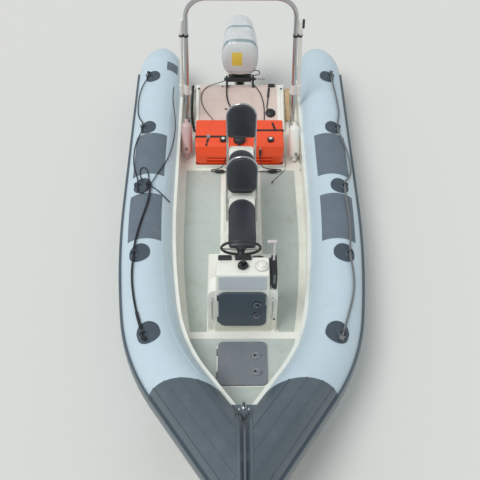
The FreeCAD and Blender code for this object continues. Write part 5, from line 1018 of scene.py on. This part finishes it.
PLUGS = (    # place, normal, radius
    ((-0.185, 2.200, 0.370), UP, 0.011), ((0.150, 2.200, 0.370), UP, 0.013),
    ((-0.436, 2.147, 0.383), (0, -0.3, 1), 0.011), ((0.436, 2.147, 0.383), (0, -0.3, 1), 0.011),
    (on_slope(-0.147, 1.923), slope_up, 0.012),
)
PLUG_HEIGHT = 0.004
for index, (place, normal, radius) in enumerate(PLUGS):
    button(f"transom_plug_{index + 1}", place, normal, radius, PLUG_HEIGHT, "black_plastic")
turned("bilge_cap", on_slope(0.318, 1.872, -0.002), on_slope(0.318, 1.872, 0.030),
       ((0, 0.047), (0.35, 0.047), (0.5, 0.042), (0.85, 0.040), (1, 0.030)), "black_plastic", sides=32)
ring_piece("bilge_cap_ring", on_slope(0.318, 1.872, 0.012), 0.048, 0.008, "black_metal", slope_up)
slab("ply_board", (0.500, 2.008, 0.282), (0.026, 0.180, 0.006), 0.006, "wood", tip=PLY_TIP)
slab("transom_block", (0.335, 2.202, 0.384), (0.036, 0.016, 0.012), 0.005, "black_plastic")
turned("steering_rod", (0.160, 2.262, 0.425), (0.268, 2.262, 0.425),
       ((0, 0.008), (0.70, 0.008), (0.72, 0.014), (0.86, 0.014), (0.88, 0.0095), (0.97, 0.0095),
        (1, 0.007)), "steel")
slab("engine_flush_block", (-0.108, 2.214, 0.556), (0.026, 0.016, 0.026), 0.010, "white_plastic",
     "engine", edge=0.006)

# %% Trim on the poles and fenders
POLE_FOOT, POLE_HEAD = np.array((0.594, 1.798, 0.560)), np.array((0.567, 1.805, 1.450))
SLEEVE_SHARES = (0.845, 1.015)    # of the way up the pole
for side, label in SIDES:
    low, high = ((POLE_FOOT + (POLE_HEAD - POLE_FOOT) * share) * (side, 1, 1) for share in SLEEVE_SHARES)
    turned(f"pole_sleeve_{label}", low, high,
           ((0, 0.0175), (0.04, 0.0195), (0.9, 0.0195), (0.97, 0.017), (1, 0.010)), "white_plastic")
slab("pole_lamp", (0.594, 1.806, 1.418), (0.011, 0.014, 0.044), 0.005, "black_plastic")
ring_piece("fender_eye_port", (0.553, 1.216, 0.296), 0.011, 0.006, "black_plastic", (0.24, -0.88, 0.4))
ring_piece("fender_eye_starboard", (-0.539, 1.266, 0.318), 0.011, 0.006, "black_plastic",
           (-0.04, -0.81, 0.59))

# %% [markdown]
# ## Hoses and cables
#
# The fuel hoses and cables are soft, so each is a free route with few marks, lying on what is under it.
# They could be straight pipes, but a hose's lazy bends are what tells it from a pipe.

# %% A hose
HOSE_UP = (0.25, -0.45, 0.86)          # along no hose, so no section flips
HOSE_SPACING, LEAST_SPACING = 0.8, 0.006    # points apart in diameters, and the least diameter used


def hose(name, marks, diameter, body="boat",
         slot_name="black_hose", side=None):
    """A round hose or line along its marks."""
    path = evenly(route_points(marks, side), max(diameter, LEAST_SPACING) * HOSE_SPACING)
    made = swept_piece(name, path, circle(diameter / 2, 12), up=HOSE_UP, body=body)
    dress(made, slot_name, STRAND_ANGLE)
    print(name, round(path_length(path), 3), "m")


def down_slope(*marks):
    """Marks x, y and height above the sloping moulding, as places."""
    return [on_slope(*mark) for mark in marks]


# %% Fuel hose and sensor cable
BULB_Y, BULB_Z = 1.066, 0.2035
BULB = ((0, 0.006), (0.08, 0.009), (0.2, 0.017), (0.4, 0.0185), (0.6, 0.0185), (0.8, 0.017),
        (0.92, 0.009), (1, 0.006))
bulbs = [turned("primer_bulb_" + label, (start, BULB_Y, BULB_Z), (end, BULB_Y, BULB_Z), BULB,
                "black_hose")
         for label, start, end in (("starboard", -0.262, -0.152), ("port", 0.262, 0.372))]
hose("fuel_hose", ((-0.150, 1.150, 0.300), (-0.168, 1.112, 0.225), (-0.235, 1.106, 0.196),
                   (-0.292, 1.098, 0.196), (-0.292, 1.068, 0.203), (-0.225, BULB_Y, BULB_Z),
                   (-0.150, BULB_Y, BULB_Z), (-0.060, 1.072, 0.193), (0.050, 1.084, 0.193),
                   (0.160, 1.070, 0.198), (0.240, BULB_Y, BULB_Z), (0.330, BULB_Y, BULB_Z),
                   (0.402, 1.068, 0.203), (0.404, 1.102, 0.196), (0.310, 1.108, 0.194),
                   (0.215, 1.108, 0.215), (0.192, 1.118, 0.290), (0.192, 1.128, 0.345)),
     0.009)
sensor_end = turned("sensor_plug", (0.316, 0.938, 0.190), (0.304, 0.912, 0.190),
                    ((0, 0.004), (0.1, 0.006), (0.9, 0.006), (1, 0.003)), "black_plastic", sides=12)
hose("sensor_cable", ((0.428, 1.170, 0.330), (0.446, 1.150, 0.262), (0.450, 1.122, 0.200),
                      (0.420, 1.070, 0.188), (0.376, 1.020, 0.188), (0.338, 0.968, 0.188),
                      (0.314, 0.934, 0.189)), 0.005)

# %% Hoses on the transom and the engine
COUPLING_FROM, COUPLING_TO, COUPLING_R = 2.052, 2.160, 0.0105
hose("transom_hose_a", [(-0.140, 2.220, 0.440), (-0.235, 2.215, 0.405), (-0.340, 2.195, 0.382),
                        (-0.402, 2.120, 0.368),
                        *down_slope((-0.414, 2.035, 0.010), (-0.385, 1.935, 0.009),
                                    (-0.330, 1.855, 0.009), (-0.283, 1.795, 0.009),
                                    (-0.240, 1.735, 0.009), (-0.222, 1.694, 0.006))], 0.008)
hose("transom_hose_b", [(-0.122, 2.222, 0.450), (-0.140, 2.180, 0.404), (-0.142, 2.115, 0.374),
                        *down_slope((-0.138, 2.050, 0.012), (-0.122, 1.985, 0.012),
                                    (-0.095, 1.935, 0.004))], 0.015)
hose("transom_hose_c", [(0.125, 2.222, 0.410), (0.165, 2.190, 0.377), (0.205, 2.130, 0.368),
                        *down_slope((0.238, 2.040, 0.010), (0.252, 1.945, 0.009),
                                    (0.254, 1.850, 0.009), (0.250, 1.755, 0.009),
                                    (0.242, 1.694, 0.006))], 0.010)
cable_marks = [(0.312, 2.198, 0.388), (0.306, 2.150, 0.380), (0.298, 2.080, 0.361),
               *down_slope((0.290, 1.990, 0.011), (0.278, 1.935, 0.010), (0.290, 1.895, 0.012))]
coupling = evenly(route_points(cable_marks), 0.004)
coupling = coupling[(coupling[:, 1] > COUPLING_FROM) & (coupling[:, 1] < COUPLING_TO)]
coupling = dress(swept_piece("transom_cable_coupling", coupling, circle(COUPLING_R, 14), HOSE_UP),
                 "black_plastic", 50)
hose("transom_cable_d", cable_marks, 0.011)
hose("engine_hose_loop", ((0.070, 2.215, 0.555), (0.120, 2.188, 0.584), (0.178, 2.186, 0.598),
                          (0.212, 2.188, 0.570), (0.198, 2.192, 0.532), (0.145, 2.196, 0.520),
                          (0.070, 2.214, 0.526)), 0.009, body="engine")
loom_path = route_points(((-0.496, 2.185, 0.392), (-0.500, 2.130, 0.370), (-0.505, 2.040, 0.300),
                          (-0.508, 1.950, 0.240), (-0.502, 1.860, 0.202), (-0.490, 1.760, 0.200),
                          (-0.470, 1.680, 0.200)))
LOOM_THICK, LOOM_CABLES, LOOM_LAY = 0.030, 4, 0.24
loom = laid_rope("cable_loom", loom_path, LOOM_THICK, LOOM_CABLES, LOOM_LAY, 8, HOSE_UP)
dress(loom, "black_hose", STRAND_ANGLE)

# %% Lines and lanyards
# The kill cord is a coil of a few turns that closes in and wavers a little as it climbs.
COIL_POINTS, COIL_STEP, COIL_X, COIL_Y, COIL_Z = 23, 48, 0.002, -0.806, 0.956
COIL_R, COIL_CLOSES, COIL_WAVER, COIL_CLIMB = 0.043, 0.007, 0.003, 0.0016
number = np.arange(COIL_POINTS)
coil_turn = np.radians(number * COIL_STEP)
coil_reach = COIL_R - COIL_CLOSES * (number / COIL_POINTS) + COIL_WAVER * np.sin(coil_turn * 0.8)
coil_marks = np.stack([COIL_X + coil_reach * np.cos(coil_turn), COIL_Y + coil_reach * np.sin(coil_turn),
                       COIL_Z + COIL_CLIMB * number], -1)
LINES = (    # name, diameter, far end, lay, side whose tube the marks go by, marks
    ("kill_cord", 0.009, "bare", "coiled", None, coil_marks),
    ("fender_lanyard_port", 0.006, "bare", "loose", None,
     ((0.556, 1.213, 0.290), (0.578, 1.196, 0.262), (0.596, 1.166, 0.222), (0.600, 1.128, 0.190),
      (0.592, 1.090, 0.1865))),
    ("mooring_tail", 0.010, "bare", "loose", STARBOARD,
     ((.466, 112, .264), (.463, 119, .250), (.446, 127, .2455), (.412, 137, .2455),
      (.384, 147, .2455), (.368, 155, .2455), (.362, 162, .2450))),
    ("mooring_bight", 0.010, "object", "loose", STARBOARD,
     ((.540, 95, .258), (.594, 90.5, .249), (.655, 87, .2465), (.708, 86, .2465), (.738, 90, .2465),
      (.732, 97, .2465), (.694, 103, .2465), (.640, 106.5, .2465), (.580, 108, .250),
      (.524, 109, .259))),
)
for name, diameter, end, lay, side, marks in LINES:
    hose(name, marks, diameter, slot_name="black_rope", side=side)

# %% [markdown]
# ## Seams of the tubes
#
# The tubes are glued from panels, and a tape covers each joint. The tape is a hair thick, so it could be
# only painted, but a thin strip catches the light along its edges as the real one does.

# %% Tape
TAPE_HALF, TAPE_THICK, TAPE_CHAMFER, TAPE_LIFT = 0.016, 0.0016, 0.001, 0.0006
TAPE_ANGLES, TAPE_FROM, TAPE_TO = (146, 24), 2.10, -1.70
STRIPE_ANGLE, STRIPE_R, STRIPE_OUT, STRIPE_LIFT = 8, 0.0026, 0.035, 0.0008
STRIPE_FROM, STRIPE_TO = 2.20, -2.35
tape_section = np.array([(-TAPE_HALF, -TAPE_THICK), (TAPE_HALF, -TAPE_THICK),
                         (TAPE_HALF - TAPE_CHAMFER, TAPE_THICK),
                         (-TAPE_HALF + TAPE_CHAMFER, TAPE_THICK)])
for side, label in SIDES:
    along = np.linspace(TAPE_FROM, TAPE_TO, 160)
    for index, degrees in enumerate(TAPE_ANGLES):
        line = by_tube(along, degrees, TUBE_R + TAPE_LIFT, side)
        out_way = unit(line - by_tube(along, degrees, 0.0, side))
        dress(swept_piece(f"tube_tape_{label}_{index + 1}", line, tape_section, out_way), "tube_fabric")
    stripe = by_tube(np.linspace(STRIPE_FROM, STRIPE_TO, 240), STRIPE_ANGLE, TUBE_R + STRIPE_OUT, side)
    stripe = snapped(nodes["rub_strake_" + label], stripe, STRIPE_LIFT)
    dress(swept_piece(f"pinstripe_{label}", stripe, circle(STRIPE_R, 8)), "white_plastic", STRAND_ANGLE)
    print(label, "pinstripe", round(path_length(stripe), 3), "m")

# %% [markdown]
# ## Floor and light
#
# The floor lies at the waterline, so that the hull below it is hidden, as it is by the water. One wide
# soft sun from the left and a plain pale sky light the boat about as strongly as full daylight would
# light white paper, so colours come out as they are written.

# %% Floor, sky and sun
FLOOR_HALF = 30
SUN_STRENGTH, SUN_WIDTH, SUN_FROM = 1.5, 30, (-0.55, -0.45, 1.15)
SKY_COLOUR, SKY_STRENGTH = (0.95, 0.98, 1.0, 1), 0.58
floor = mesh_piece("floor", [(-FLOOR_HALF, -FLOOR_HALF, 0), (FLOOR_HALF, -FLOOR_HALF, 0),
                             (FLOOR_HALF, FLOOR_HALF, 0), (-FLOOR_HALF, FLOOR_HALF, 0)], [(0, 1, 2, 3)])
floor.data.materials.append(finish("floor", (222, 222, 218), 0.9, spread=0.0, dirt=0.0, bump=0.0))

sun = bpy.data.objects.new("sun", bpy.data.lights.new("sun", "SUN"))
sun.data.energy = SUN_STRENGTH
sun.data.angle = radians(SUN_WIDTH)
sun.rotation_euler = Vector(SUN_FROM).to_track_quat("Z", "Y").to_euler()
bpy.context.scene.collection.objects.link(sun)
world = bpy.data.worlds.new("sky")
world.use_nodes = True
sky = world.node_tree.nodes["Background"].inputs
sky["Color"].default_value, sky["Strength"].default_value = SKY_COLOUR, SKY_STRENGTH
bpy.context.scene.world = world
bpy.context.scene.view_settings.view_transform = "Standard"
print("sun and sky set, floor", 2 * FLOOR_HALF, "m wide")
